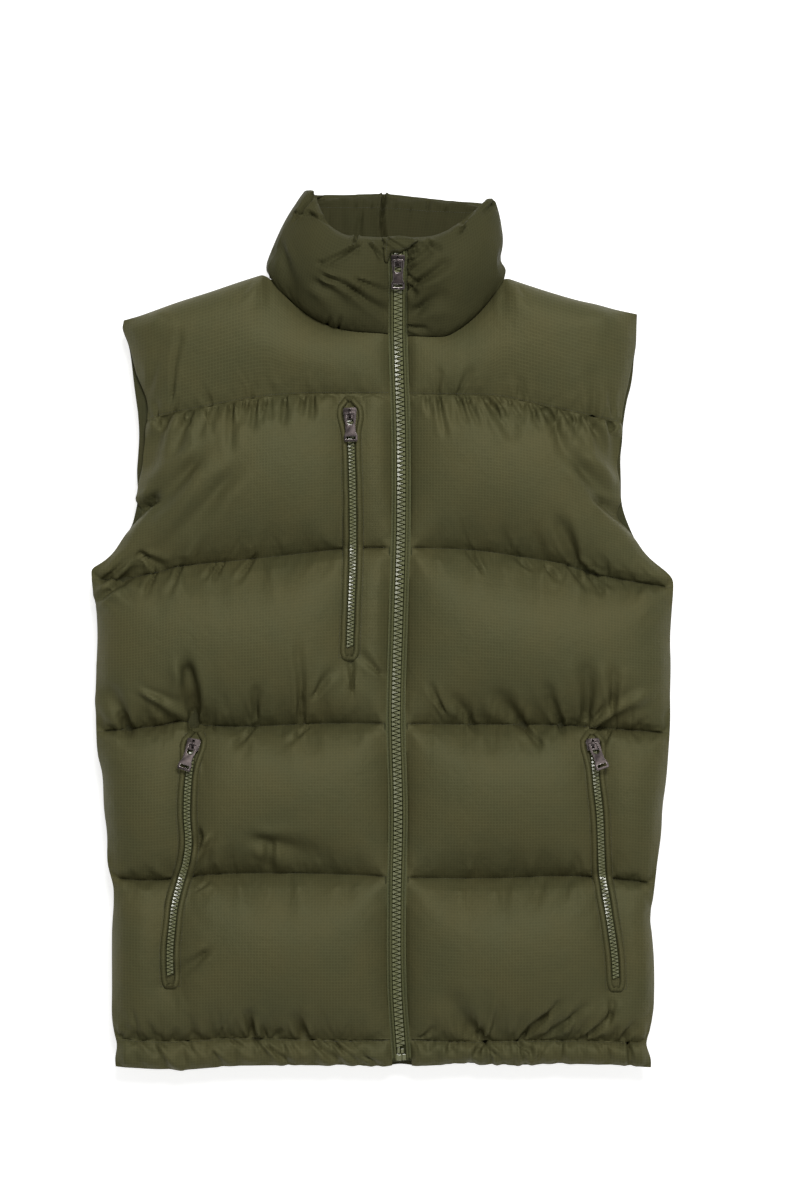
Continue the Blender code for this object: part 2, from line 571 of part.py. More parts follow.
def collar_rings():
    stations = neck_stations()
    count = len(stations)
    seam = [station[0] for station in stations]
    edge_rows = [along_table(COLLAR_EDGE, i / (count - 1)) for i in range(count)]
    tops = [Vector(row[:3]) * MM for row in edge_rows]
    rings = []
    for i in range(count):
        before, after = max(i - 2, 0), min(i + 2, count - 1)
        round_way = (tops[after] - tops[before]).normalized() + (seam[after] - seam[before]).normalized()
        up = tops[i] - seam[i]
        out = up.cross(round_way).normalized()
        if i in (0, count - 1):
            out = Vector((0, -up.z, up.y)).normalized()
        bow, curl = edge_rows[i][3] * MM, edge_rows[i][4] * MM
        face, half = stations[i][1:]
        fullness = 0.42 + 0.58 * rounded(min(i, count - 1 - i), 6)
        fullness *= edge_rows[i][5]

        def section(s, puff):
            """A point off the wall's middle line: puff is towards its outer side."""
            curled = curl * max(0, (s - 0.7) / 0.3) ** 2
            middle = seam[i] + up * s + out * (4 * bow * s * (1 - s) - curled)
            near_seam = max(1 - s / 0.12, 0)
            way = (face * near_seam + out * (1 - near_seam)).normalized()
            return middle + way * puff

        ring = []
        for s in (0, 0.05, 0.14, 0.26, 0.4, 0.54, 0.67, COLLAR_STITCH, 0.88, 0.96):
            seam_half = half + (2.5 * MM - half) * min(s / 0.3, 1)
            if s <= COLLAR_STITCH:
                puff = seam_half + COLLAR_PUFF * crown(s / COLLAR_STITCH) * fullness
            else:
                puff = 2.5 * MM + COLLAR_RIM_PUFF * crown((s - COLLAR_STITCH) / (1 - COLLAR_STITCH)) * fullness
            ring.append(section(s, puff))
        ring.append(section(1.02, 0))
        for s in (0.95, COLLAR_STITCH, 0.55, 0.3, 0.08, 0):
            inner = 2.5 * MM if s in (COLLAR_STITCH, 0.95) else 2.5 * MM + COLLAR_INSIDE * fullness
            ring.append(section(s, -half if s == 0 else -inner))
        for point in ring:
            over_back = face.z > 0 and point.y < back_top(point.x) + 2 * MM
            point.z = max(point.z, FRONT_INSIDE if over_back else 0)
        rings.append(ring)
    return rings


# ---------------------------------------------------------------- strips that lie on the pads

def strip(name, samples, half_width, bottom, top, finish):
    """A flat bar along a path: samples are (x, y, base height), bottom and top are above the base."""
    rings = []
    for i, (x, y, base) in enumerate(samples):
        before, after = samples[max(i - 1, 0)], samples[min(i + 1, len(samples) - 1)]
        way = Vector((after[0] - before[0], after[1] - before[1], 0)).normalized()
        aside = Vector((-way.y, way.x, 0))
        left, right = half_width if isinstance(half_width, tuple) else (-half_width, half_width)
        rings.append([
            Vector((x, y, base + bottom)) + aside * left, Vector((x, y, base + bottom)) + aside * right,
            Vector((x, y, base + top)) + aside * right, Vector((x, y, base + top)) + aside * left,
        ])
    return loft(name, rings, finish)


def zip_samples(top, bottom):
    """Places along the closed zip. All of its strips share the stations between their ends."""
    stations = [ZIP_TOP + (ZIP_BOTTOM - ZIP_TOP) * i / ZIP_STATIONS for i in range(ZIP_STATIONS + 1)]
    samples = []
    for y in [top] + [station for station in stations if top > station > bottom] + [bottom]:
        upper = min((station for station in stations if station >= y), default=ZIP_TOP)
        lower = max((station for station in stations if station <= y), default=ZIP_BOTTOM)
        share = (upper - y) / (upper - lower) if upper > lower else 0
        x, z = [at(upper) + (at(lower) - at(upper)) * share for at in (zip_x, zip_z)]
        samples.append((x, y, z))
    return samples


def highest_near(surface, x, y, reach):
    """The pad's height at a place, or the highest within reach of it."""
    offsets = ((0, 0), (1, 0), (-1, 0), (0, 1), (0, -1), (0.7, 0.7), (-0.7, 0.7), (0.7, -0.7), (-0.7, -0.7))
    found = [surface(x + reach * dx, y + reach * dy) for dx, dy in offsets]
    return max(height for height in found if height is not None)


def draped(surface, path, reach, closed=False):
    """Heights along a path of (x, y) so that straight pieces between its points clear the surface."""
    heights = [highest_near(surface, x, y, reach) for x, y in path]
    for i in range(len(path) if closed else len(path) - 1):
        j = (i + 1) % len(path)
        for share in (0.25, 0.5, 0.75):
            x, y = [path[i][k] + (path[j][k] - path[i][k]) * share for k in (0, 1)]
            short = highest_near(surface, x, y, reach) - heights[i] - (heights[j] - heights[i]) * share
            if short > 0:
                heights[i] += short
                heights[j] += short
    return heights


def pocket_samples(name, surface, top, bottom, step=9 * MM):
    count = max(round((top - bottom) / step), 2) + 1
    ys = [top + (bottom - top) * i / (count - 1) for i in range(count)]
    path = [(pocket_x[name](y), y) for y in ys]
    return [(x, y, z) for (x, y), z in zip(path, draped(surface, path, POCKET_CHAIN_WIDTH / 2))]


def welt(name, pocket, surface, slider_y, finish):
    """The folded cloth lips round a pocket zip: one closed loop that opens round the slider."""
    top, bottom = pocket_ends[pocket]
    count = 22
    loop = []
    for way in (1, -1):
        for i in range(count + 1):
            turn = math.pi * (i / count if way == 1 else 1 - i / count)
            share = 0.5 - 0.5 * math.cos(turn) * (0.8 + 0.2 * math.cos(turn) ** 2)
            y = top + (bottom - top) * share
            off = POCKET_CHAIN_WIDTH / 2 + 0.4 * MM + WELT_WIDTH / 2
            off += 3.4 * MM * math.exp(-((y - slider_y - 1.5 * MM) / (12 * MM)) ** 2)
            off *= 0.40 + 0.60 * min((top - y) / (8 * MM), 1) * rounded(y - bottom + 0.5 * MM, 10 * MM)
            loop.append((way * off, y))
    path = [(pocket_x[pocket](y) + off, y) for off, y in loop]
    rings = []
    for i, base in enumerate(draped(surface, path, WELT_WIDTH * 0.6, closed=True)):
        before, after = Vector(path[i - 1]), Vector(path[(i + 1) % len(path)])
        way = (after - before).normalized()
        aside = Vector((-way.y, way.x, 0))
        spot = Vector((*path[i], base + SEAM_GAP))
        section = ((-0.5, 0), (0.5, 0), (0.42, 0.62), (0, 1), (-0.42, 0.62))
        rings.append([spot + aside * (WELT_WIDTH * out) + Vector((0, 0, WELT_HEIGHT * rise))
                      for out, rise in section])
    return loft(name, rings, finish, closed=True)


# ---------------------------------------------------------------- zip sliders and pull tabs

SLIDER_LENGTH, SLIDER_PLATE, BAIL_RISE = 11 * MM, 1.3 * MM, 4.6 * MM
HINGE_RISE, HINGE_FORWARD = 1.6 * MM, 0.6 * MM  # the pull tab's axis from the plate's middle


def slider_frame(x, y, z, way):
    """A frame on the zip: its -Y runs down the zip along way, and +Z out of the cloth."""
    down = Vector(way).normalized()
    out = Vector((0, 0, 1))
    across_zip = down.cross(out).normalized() * -1
    out = across_zip.cross(-down).normalized()
    turn = Matrix((across_zip, -down, out)).transposed().to_4x4()
    return Matrix.Translation((x, y, z)) @ turn


def slider(name, frame, chain_width, finish):
    """The slider's plate with a flange down each side of the chain, and the bail that holds the pull tab."""
    inner = chain_width / 2 + 0.4 * MM
    plate_low = CHAIN_HEIGHT + 2 * SEAM_GAP
    plate_top = plate_low + SLIDER_PLATE
    rings = []
    for along, wide in ((-0.5, 1.25), (-0.18, 1.35), (0.2, 2.0), (0.42, 1.7), (0.5, 0.8)):
        outer = inner + wide * MM
        y = along * SLIDER_LENGTH
        rings.append([(-outer, y, 0.9 * MM), (-inner, y, 0.9 * MM), (-inner, y, plate_low), (inner, y, plate_low),
                      (inner, y, 0.9 * MM), (outer, y, 0.9 * MM), (outer, y, plate_top), (-outer, y, plate_top)])
    body = loft(name, rings, finish)
    arch = []
    for i in range(9):
        turn = math.pi * i / 8
        for_y, for_z = math.cos(turn) * 4.6 * MM, math.sin(turn) * BAIL_RISE - 0.5 * MM
        inward = 0.9 * MM
        in_y, in_z = math.cos(turn) * (4.6 * MM - inward), math.sin(turn) * (BAIL_RISE - inward) - 0.5 * MM
        half = 1.2 * MM
        arch.append([(-half, for_y, plate_top + for_z), (half, for_y, plate_top + for_z),
                     (half, in_y, plate_top + in_z), (-half, in_y, plate_top + in_z)])
    bail = loft(name + "_bail", arch, finish)
    union = body.modifiers.new("bail", "BOOLEAN")
    union.operation = "UNION"
    union.object = bail
    bail.hide_render = True
    bail.display_type = "WIRE"
    vest.objects.unlink(bail)
    cutters.objects.link(bail)
    for one in (body, bail):
        one.matrix_world = frame
    return plate_top


def pull_outline(points):
    """One closed ring of a flat outline as curve points."""
    return [(x * MM, y * MM, 0, 1) for x, y in points]


def pull_tab(name, frame, height, droop, finish):
    """A flat metal tab with a window for the bail at its top and a slot near its tip. Its origin is on its hinge."""
    flat = bpy.data.curves.new(name, "CURVE")
    flat.dimensions = "2D"
    flat.fill_mode = "BOTH"
    flat.extrude = PULL_THICKNESS / 2
    tip = PULL_LENGTH / MM - 1.2
    outline = ((-4.6, 0.9), (4.6, 0.9), (5.6, -1), (5.3, -6), (4.6, -11), (4.6, -18), (6.2, -21), (6.2, -tip + 1),
               (5.4, -tip), (-5.4, -tip), (-6.2, -tip + 1), (-6.2, -21), (-4.6, -18), (-4.6, -11), (-5.3, -6),
               (-5.6, -1))
    window = ((-3.1, -0.9), (3.1, -0.9), (3.1, -9.5), (1.6, -11.4), (-1.6, -11.4), (-3.1, -9.5))
    slot = ((-4.4, -21.8), (4.4, -21.8), (4.4, -24.8), (-4.4, -24.8))
    for ring in (outline, window, slot):
        spline = flat.splines.new("POLY")
        spline.points.add(len(ring) - 1)
        for point, co in zip(spline.points, pull_outline(ring)):
            point.co = co
        spline.use_cyclic_u = True
    shape = bpy.data.objects.new(name + "_outline", flat)
    bpy.context.scene.collection.objects.link(shape)
    graph = bpy.context.evaluated_depsgraph_get()
    mesh = bpy.data.meshes.new_from_object(shape.evaluated_get(graph))
    bpy.data.objects.remove(shape)
    build = bmesh.new()
    build.from_mesh(mesh)
    bpy.data.meshes.remove(mesh)
    bmesh.ops.remove_doubles(build, verts=build.verts, dist=0.02 * MM)
    tab = new_object(name, build, finish)
    hinge = bpy.data.objects.new(name + "_hinge", None)
    vest.objects.link(hinge)
    hinge.matrix_world = frame @ Matrix.Translation((0, 0, height))
    tab.parent = hinge
    tab.rotation_euler = (droop, 0, 0)
    return hinge


def chin_guard(name, below, columns, rows, finish):
    """The padded flap over the zip's upper end: it lies on what is below it and swells between its edges."""
    def place(u, v):
        ends = []
        for edge in (GUARD_LOWER, GUARD_UPPER):
            row = along_table(edge, u)
            ends.append(Vector((row[0] * MM, row[1] * MM, 0)))
        spot = ends[0].lerp(ends[1], v)
        return spot.x, spot.y

    def low(u, v):
        """A smooth height that clears what lies below: the mean of the highest points round about, none under the zip."""
        spots = [place(min(max(u + du, 0), 1), min(max(v + dv, 0), 1))
                 for du in (-0.16, 0, 0.16) for dv in (-0.3, 0, 0.3)]
        mean = sum(max(highest_near(below, x, y, 6 * MM), zip_z(ZIP_TOP)) for x, y in spots) / len(spots)
        return max(mean, highest_near(below, *place(u, v), 3.4 * MM)) + SEAM_GAP

    build = bmesh.new()
    bmesh.ops.create_grid(build, x_segments=columns, y_segments=rows, size=0.5)
    heights = {}
    for vertex in build.verts:
        u, v = vertex.co.x + 0.5, vertex.co.y + 0.5
        inward = rounded(min(u, 1 - u), 0.3) * rounded(min(v, 1 - v), 0.45)
        heights[vertex] = low(u, v)
        vertex.co = (*place(u, v), heights[vertex] + 1 * MM + GUARD_PUFF * inward)
    upper = list(build.verts)
    bmesh.ops.extrude_face_region(build, geom=list(build.faces), use_keep_orig=True)
    lows = {(round(v.co.x, 7), round(v.co.y, 7)): low for v, low in heights.items()}
    for vertex in upper:
        vertex.co.z = lows[(round(vertex.co.x, 7), round(vertex.co.y, 7))]
    bmesh.ops.recalc_face_normals(build, faces=build.faces)
    return new_object(name, build, finish)


# ---------------------------------------------------------------- the vest

for leftover in list(bpy.data.objects):
    bpy.data.objects.remove(leftover)
vest = bpy.data.collections.new("puffer_vest")
cutters = bpy.data.collections.new("cutters")
for group in (vest, cutters):
    bpy.context.scene.collection.children.link(group)

shell = material("olive_shell", OLIVE, 0.42)
tape_cloth = material("zip_tape", OLIVE_TAPE, 0.7)
teeth = material("zip_teeth", (0.09, 0.12, 0.06, 1), 0.35)
metal = material("gunmetal", GUNMETAL, 0.3, 1.0)

pad("back_panel", BACK_COLUMNS, (len(BACK_LINES) - 1) * BACK_ROWS_A_CHANNEL, back_place, BACK_THICKNESS, shell)
pad("back_hem", BACK_COLUMNS, 6, back_hem_place, BACK_THICKNESS, shell)
fronts = {}
for side, word in SIDE_NAMES.items():
    rows = len(CHANNELS) * ROWS_A_CHANNEL
    fronts[side] = pad(f"front_panel_{word}", FRONT_COLUMNS, rows, front_place(side), FRONT_INSIDE, shell)
    pad(f"front_yoke_{word}", FRONT_COLUMNS, 9, yoke_place(side, FRONT_COLUMNS), FRONT_INSIDE, shell)
    pad(f"front_hem_{word}", FRONT_COLUMNS, 6, front_hem_place(side), FRONT_INSIDE, shell)
loft("collar", collar_rings(), shell)

# Main zip
for side, word in SIDE_NAMES.items():
    inner, outer = SEAM_GAP / 2, ZIP_CHANNEL / 2 - SEAM_GAP
    span = (inner, outer) if side == 1 else (-outer, -inner)
    strip(f"zip_tape_{word}", zip_samples(ZIP_TOP, ZIP_BOTTOM), span, -TAPE_THICKNESS, 0, tape_cloth)
strip("zip_chain", zip_samples(ZIP_TOP - 0.004, ZIP_BOTTOM + 0.0125), MAIN_CHAIN_WIDTH / 2,
      SEAM_GAP, SEAM_GAP + CHAIN_HEIGHT, teeth)
strip("zip_box", zip_samples(ZIP_BOTTOM + 0.0122, ZIP_BOTTOM), MAIN_CHAIN_WIDTH / 2 + 0.4 * MM,
      SEAM_GAP, SEAM_GAP + CHAIN_HEIGHT + 0.6 * MM, teeth)


def main_slider():
    y = 0.3395
    step = 8 * MM
    way = (zip_x(y - step) - zip_x(y + step), -2 * step, zip_z(y - step) - zip_z(y + step))
    frame = slider_frame(zip_x(y), y, zip_z(y) + SEAM_GAP, way)
    top = slider("zip_slider", frame, MAIN_CHAIN_WIDTH, metal)
    pull_tab("zip_pull", frame @ Matrix.Translation((0, HINGE_FORWARD, 0)), top + HINGE_RISE, 0.0, metal)


main_slider()
zip_top = [bpy.data.objects[name] for name in ("collar", "zip_tape_right", "zip_tape_left", "zip_chain", "zip_slider")]
chin_guard("chin_guard", surface_of(*zip_top), 12, 6, shell)

# Pocket zips
POCKETS = {"chest": (-1, 0.1985, 0, 0), "right": (-1, -0.108, -11, 0), "left": (1, -0.108, 15, -4)}  # side, y, lean, lift


def pocket_slider(label, pocket, slider_y, turn, droop, chain, front, lips):
    """A slider that sits on the pocket's chain, and its pull tab at the lowest angle that clears the cloth."""
    half = SLIDER_LENGTH / 2

    def chain_height(y):
        after = next(i for i in range(1, len(chain)) if chain[i][1] <= y or i == len(chain) - 1)
        (_, y0, z0), (_, y1, z1) = chain[after - 1], chain[after]
        return z0 + (z1 - z0) * (y0 - y) / (y0 - y1)

    upper, lower = slider_y + half, slider_y - half
    middle = (chain_height(upper) + chain_height(lower)) / 2
    way = (pocket_x[pocket](lower) - pocket_x[pocket](upper), -2 * half, chain_height(lower) - chain_height(upper))
    cloth = surface_of(front)
    lift = max(chain_height(slider_y) - middle, 0)
    frame = slider_frame(pocket_x[pocket](slider_y), slider_y, middle + SEAM_GAP, way)
    for x in (-6.3, -4.5, 4.5, 6.3):
        for y in (-half, -half / 2, 0, half / 2, half):
            corner = frame @ Vector((x * MM, y, 0.9 * MM))
            lift = max(lift, cloth(corner.x, corner.y) + SEAM_GAP - corner.z)
    frame = Matrix.Translation((0, 0, lift)) @ frame
    top = slider(f"{label}_slider", frame, POCKET_CHAIN_WIDTH, metal)
    hinge = frame @ Matrix.Translation((0, HINGE_FORWARD, top + HINGE_RISE))
    below = surface_of(front, lips)
    hinge = hinge @ Matrix.Rotation(math.radians(turn), 4, "Z")
    corners = [Vector((x * MM, -y * MM, -PULL_THICKNESS / 2)) for x in (-6.2, -3, 0, 3, 6.2) for y in range(6, 29, 2)]
    while droop > -60:
        points = [hinge @ Matrix.Rotation(math.radians(droop), 4, "X") @ corner for corner in corners]
        if all(point.z > below(point.x, point.y) + 0.5 * MM for point in points):
            break
        droop -= 1
    pull_tab(f"{label}_pull", hinge, 0, math.radians(droop), metal)


for pocket, (side, slider_y, turn, lift) in POCKETS.items():
    label = "chest" if pocket == "chest" else f"hand_{pocket}"
    surface = surface_of(fronts[side])
    top, bottom = pocket_ends[pocket]
    lips = welt(f"{label}_welt", pocket, surface, slider_y, shell)
    chain = pocket_samples(pocket, surface, top - 9.5 * MM, bottom + 12 * MM)
    strip(f"{label}_chain", chain, POCKET_CHAIN_WIDTH / 2, SEAM_GAP, SEAM_GAP + CHAIN_HEIGHT, teeth)
    pocket_slider(label, pocket, slider_y, turn, lift, chain, fronts[side], lips)

# The origin goes on the surface below the middle of the vest
bpy.context.view_layer.update()
corners = [one.matrix_world @ Vector(corner) for one in vest.objects if one.type == "MESH" for corner in one.bound_box]
lows, highs = ([pick(corner[axis] for corner in corners) for axis in range(3)] for pick in (min, max))
middle = Vector(((lows[0] + highs[0]) / 2, (lows[1] + highs[1]) / 2, lows[2]))
for one in list(vest.objects) + list(cutters.objects):
    if one.parent is None:
        one.matrix_world = Matrix.Translation(-middle) @ one.matrix_world
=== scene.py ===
import math
from functools import partialmethod

import bmesh
import bpy
import numpy as np
from mathutils import Matrix, Vector
from mathutils.bvhtree import BVHTree


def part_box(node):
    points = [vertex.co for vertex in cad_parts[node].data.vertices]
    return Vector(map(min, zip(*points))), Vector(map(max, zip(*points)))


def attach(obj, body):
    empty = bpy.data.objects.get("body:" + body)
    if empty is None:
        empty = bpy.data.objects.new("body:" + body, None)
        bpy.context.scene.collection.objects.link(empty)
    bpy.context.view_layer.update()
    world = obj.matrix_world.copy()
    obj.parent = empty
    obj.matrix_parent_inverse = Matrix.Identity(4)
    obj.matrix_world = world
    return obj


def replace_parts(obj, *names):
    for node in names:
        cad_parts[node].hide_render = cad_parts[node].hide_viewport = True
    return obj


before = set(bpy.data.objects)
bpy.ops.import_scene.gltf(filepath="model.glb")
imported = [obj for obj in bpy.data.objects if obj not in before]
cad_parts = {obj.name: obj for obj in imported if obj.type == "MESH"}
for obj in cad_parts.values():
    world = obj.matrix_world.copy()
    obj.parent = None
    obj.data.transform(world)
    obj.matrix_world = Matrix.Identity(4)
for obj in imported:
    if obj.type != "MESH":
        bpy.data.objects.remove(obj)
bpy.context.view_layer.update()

MM = 0.001


# ---- Front panels
# Each front is one length of thin ripstop nylon over a soft filling, quilted straight across into four
# channels. More cloth than filling is run into every seam, so it puckers there and swells between the seams.

CENTRE = (0.65, 1.87)  # how far the patterns' own middle lies from the vest's, in millimetres
YOKE_SEAM = ((-222, 194), (-170, 204), (-120, 213), (-71, 217), (5, 217), (72, 216), (104, 215), (136, 209),
             (168, 202), (200, 195), (224, 190))
CHEST_SEAM = ((-271, 46), (-244, 46), (-216, 51), (-187, 58), (-149, 62), (-92, 68), (-37, 74), (16, 75),
              (83, 73), (140, 65), (168, 60), (196, 51), (225, 45), (268, 38))
WAIST_SEAM = ((-265, -96), (-206, -90), (-187, -86), (-164, -90), (-130, -91), (-45, -88), (63, -89),
              (168, -90), (225, -94), (264, -97))
HIP_SEAM = ((-250, -232), (-225, -234), (-198, -233), (-149, -228), (-54, -228), (54, -232), (111, -232),
            (168, -230), (208, -232), (252, -237))
HEM_SEAM = ((-248, -381), (-197, -383), (-140, -380), (-83, -381), (-35, -382), (25, -381), (73, -383),
            (160, -382), (206, -383), (246, -385))
SIDE_RIGHT = ((292, -244), (287, -241), (279, -242), (264, -236.5), (251, -233), (236, -229), (222, -223),
              (209, -219), (195, -219), (178, -220), (161, -223), (138, -226), (121, -228), (108, -230.5),
              (95, -234), (82, -242.5), (69, -252), (61, -262), (56, -270), (49, -271), (30, -269),
              (17, -266.5), (-9, -265.5), (-35, -266.5), (-61, -267), (-100, -266.5), (-118, -265),
              (-135, -261), (-166, -259.5), (-192, -256.5), (-218, -256), (-243, -250.5), (-283, -252),
              (-335, -252), (-361, -252), (-375, -250), (-387, -247.5), (-400, -249), (-412, -248))
SIDE_LEFT = ((296, 236), (292, 236), (279, 235.5), (264, 235), (245, 231.5), (225, 227.5), (209, 224),
             (190, 221.5), (165, 220.5), (140, 220.5), (121, 221.5), (108, 224), (95, 229), (82, 235),
             (69, 244.5), (61, 253), (54, 262), (47, 268.5), (40, 270), (17, 268.5), (-9, 267),
             (-35, 267.5), (-61, 267), (-87, 267), (-113, 265.5), (-139, 263.5), (-166, 260), (-192, 258.5),
             (-218, 255), (-244, 252), (-270, 248.5), (-283, 250), (-309, 252), (-348, 252), (-361, 250.5),
             (-375, 248), (-386, 245), (-400, 249), (-412, 249))
# The closed zip: y, x and the tape's height
ZIP_PATH = ((-404, 17.6, 32), (-331, 13, 40), (-252, 12.6, 42), (-169, 14, 42), (-80, 12, 42), (3, 14, 42),
            (92, 16.7, 42), (175, 16.7, 43), (235, 15, 44), (272, 14, 46), (294, 14, 51), (315, 14, 57.5),
            (337, 14, 62), (358, 14, 64))
# Pocket zips from top to bottom, y and x, and where each opening ends
POCKETS = {
    "chest": (((215, -31), (175, -29.5), (120, -28), (64, -28), (17, -29.5), (-11, -30.5), (-25, -31)),
              214.5, -25, 198.5),
    "hand_right": (((-95, -173.5), (-136, -179.5), (-170, -181.4), (-198, -180), (-216, -182.3), (-232, -187),
                    (-254, -192.5), (-273, -194.8), (-299, -197), (-329, -196.5)), -93.5, -329, -108),
    "hand_left": (((-95, 193.5), (-113, 195), (-141, 197.2), (-171, 200.5), (-207, 202.2), (-226, 203.3),
                   (-245, 206), (-264, 209), (-302, 214.3), (-332, 216)), -94.5, -332, -108),
}


def line_through(table, upright=False, value=1):
    """A smooth line through a table in millimetres. It takes and gives metres in the vest's frame."""
    rows = sorted((row[0], row[value]) for row in table)
    at, rise = (np.array(column, float) for column in zip(*rows))
    slope = np.gradient(rise)
    slope[1:-1] = (rise[2:] - rise[:-2]) / (at[2:] - at[:-2])
    slope[0], slope[-1] = (rise[1] - rise[0]) / (at[1] - at[0]), (rise[-1] - rise[-2]) / (at[-1] - at[-2])
    shift = CENTRE[::-1] if upright else CENTRE
    at, rise = at + shift[0], rise + (0 if value == 2 else shift[1])

    def line(x):
        x = np.clip(np.asarray(x, float) / MM, at[0], at[-1])
        i = np.clip(np.searchsorted(at, x, side="right") - 1, 0, len(at) - 2)
        span = at[i + 1] - at[i]
        t = (x - at[i]) / span
        curve = rise[i] * (1 + 2 * t) * (1 - t) ** 2 + rise[i + 1] * t * t * (3 - 2 * t)
        return (curve + span * t * (1 - t) * (slope[i] * (1 - t) - slope[i + 1] * t)) * MM

    return line


yoke_seam, chest_seam, waist_seam, hip_seam, hem_seam = (
    line_through(table) for table in (YOKE_SEAM, CHEST_SEAM, WAIST_SEAM, HIP_SEAM, HEM_SEAM))
side_edge = {-1: line_through(SIDE_RIGHT, True), 1: line_through(SIDE_LEFT, True)}
zip_x, zip_z = line_through(ZIP_PATH, True), line_through(ZIP_PATH, True, 2)
pocket_x = {name: line_through(pocket[0], True) for name, pocket in POCKETS.items()}
SIDES = {-1: "right", 1: "left"}  # the wearer's
INSIDE = 27.3 * MM  # the fronts' inner side above the surface
ZIP_GAP = 9  # from the zip's middle to the sewn edge of the cloth beside it, in millimetres
SLIDER_ROOM, ROOM_LENGTH = 3.4, 12  # how far and how long a pocket's lip gives way to its slider
UP = np.array([0, 0, 1.0])


def beside_zip(side):
    """The edge of a pad at the zip, as a line that gives x for y."""
    return lambda y: zip_x(y) + side * ZIP_GAP * MM


def ray_down(skin, x, y):
    """Where a ray from above meets a surface, or None."""
    return skin.ray_cast(Vector((x, y, 0.3)), Vector((0, 0, -1)))[0]


def numbered(points):
    """The number of each point of a grid."""
    return np.arange(points.shape[0] * points.shape[1]).reshape(points.shape[:2])


def rim_of(grid):
    """The outermost values of a grid, once round."""
    return np.concatenate([grid[0], grid[1:, -1], grid[-1, -2::-1], grid[-2:0:-1, 0]])


def length_along(points):
    """How far along a line of points each of them lies."""
    return np.append(0, np.cumsum(np.linalg.norm(np.diff(points, axis=0), axis=-1)))


def placed(name, data):
    """A new object in the scene."""
    made = bpy.data.objects.new(name, data)
    bpy.context.scene.collection.objects.link(made)
    return made


def laid_grid(lines, rows, near, far, columns):
    """Places on a pad. Rows run between the lines across it and crowd at them, columns from edge to edge."""
    share = np.arange(rows) / rows
    share = share - 0.085 * np.sin(2 * np.pi * share)
    channel = np.append(np.repeat(np.arange(len(lines) - 1), rows), len(lines) - 2)
    share = np.append(np.tile(share, len(lines) - 1), 1.0)

    def row_height(x):
        heights = np.array([line(x) for line in lines])
        upper, lower = (np.take_along_axis(heights, (channel + k)[None, :, None], 0)[0] for k in (0, 1))
        return upper * (1 - share[:, None]) + lower * share[:, None]

    ends = []
    for edge in (near, far):
        x = np.zeros((len(channel), 1))
        for _ in range(9):
            x = edge(row_height(x))
        ends.append(x)
    part = np.linspace(0, 1, columns + 1)[None, :].repeat(len(channel), 0)
    x = ends[0] + (ends[1] - ends[0]) * part
    return x, row_height(x)


def skin_of(node):
    """A solid's surface, for rays to fall on."""
    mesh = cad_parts[node].data
    return BVHTree.FromPolygons([v.co for v in mesh.vertices], [tuple(p.vertices) for p in mesh.polygons])


def fallen(skin, x, y, way=-1):
    """Heights at which rays meet a surface from above, or from below where way is 1."""
    middle = (float(np.mean(x)), float(np.mean(y)))
    z = np.full(x.shape, np.nan)
    for spot in np.ndindex(x.shape):
        px, py = float(x[spot]), float(y[spot])
        for _ in range(12):
            hit = skin.ray_cast(Vector((px, py, -way * 0.4)), Vector((0, 0, way)))[0]
            if hit:
                z[spot] = hit.z
                break
            px, py = px + (middle[0] - px) * 0.004, py + (middle[1] - py) * 0.004
    return np.where(np.isnan(z), np.nanmin(z), z)


def laid_cloth(node, lines, rows, edges, columns, way=-1, firm=(0, -1)):
    """A pad's cloth as a grid on its solid, and which points are sewn: the end rows and the firm columns."""
    x, y = laid_grid(lines, rows, *edges, columns)
    held = np.zeros(x.shape, bool)
    held[[0, -1]] = held[:, firm] = True
    return np.stack([x, y, fallen(skin_of(node), x, y, way)], -1), held


def outward(points):
    """The way a grid of points faces, one arrow a point."""
    facing = np.cross(np.gradient(points, axis=1), np.gradient(points, axis=0))
    return facing / np.maximum(np.linalg.norm(facing, axis=-1, keepdims=True), 1e-12)


def creased(points, strokes, turn=1, firm=1):
    """Presses listed creases into the cloth. A stroke is its two ends, half width and depth in
    millimetres. It is deepest near its first end and widest at the other, with a low ridge along each flank.
    A negative depth is a ridge. The firm rows at either end of the grid, which are sewn, give way less."""
    x, y = points[..., 0] / MM, points[..., 1] / MM
    press = np.zeros(x.shape)
    for number, (x0, y0, x1, y1, wide, deep) in enumerate(strokes):
        long = math.hypot(x1 - x0, y1 - y0)
        way = ((x1 - x0) / long, (y1 - y0) / long)
        along = (x - x0) * way[0] + (y - y0) * way[1]
        bow = ((number * 37) % 11 - 5) / 5 * 0.05 * long
        share = np.clip(along / long, 0, 1)
        off = (y - y0) * way[0] - (x - x0) * way[1] - bow * np.sin(np.pi * share)
        past = np.maximum(np.maximum(-along, along - long), 0)
        fade = np.exp(-(past / (0.22 * long + 0.5 * wide)) ** 2) * (1 - 0.45 * share)
        off = off / (wide * (0.65 + 0.6 * share))
        press += deep * fade * (np.exp(-off ** 2) - 0.32 * np.exp(-(np.abs(off) - 2) ** 2))
    rows = np.arange(len(points))
    press *= np.clip((np.minimum(rows, rows[::-1]) + 1) / firm, 0, 1)[:, None]
    return points - outward(points) * turn * press[..., None] * MM


def weighed(strokes, wide, deep):
    """The same creases, wider or narrower and deeper or shallower."""
    return [(*stroke[:4], stroke[4] * wide, stroke[5] * deep) for stroke in strokes]


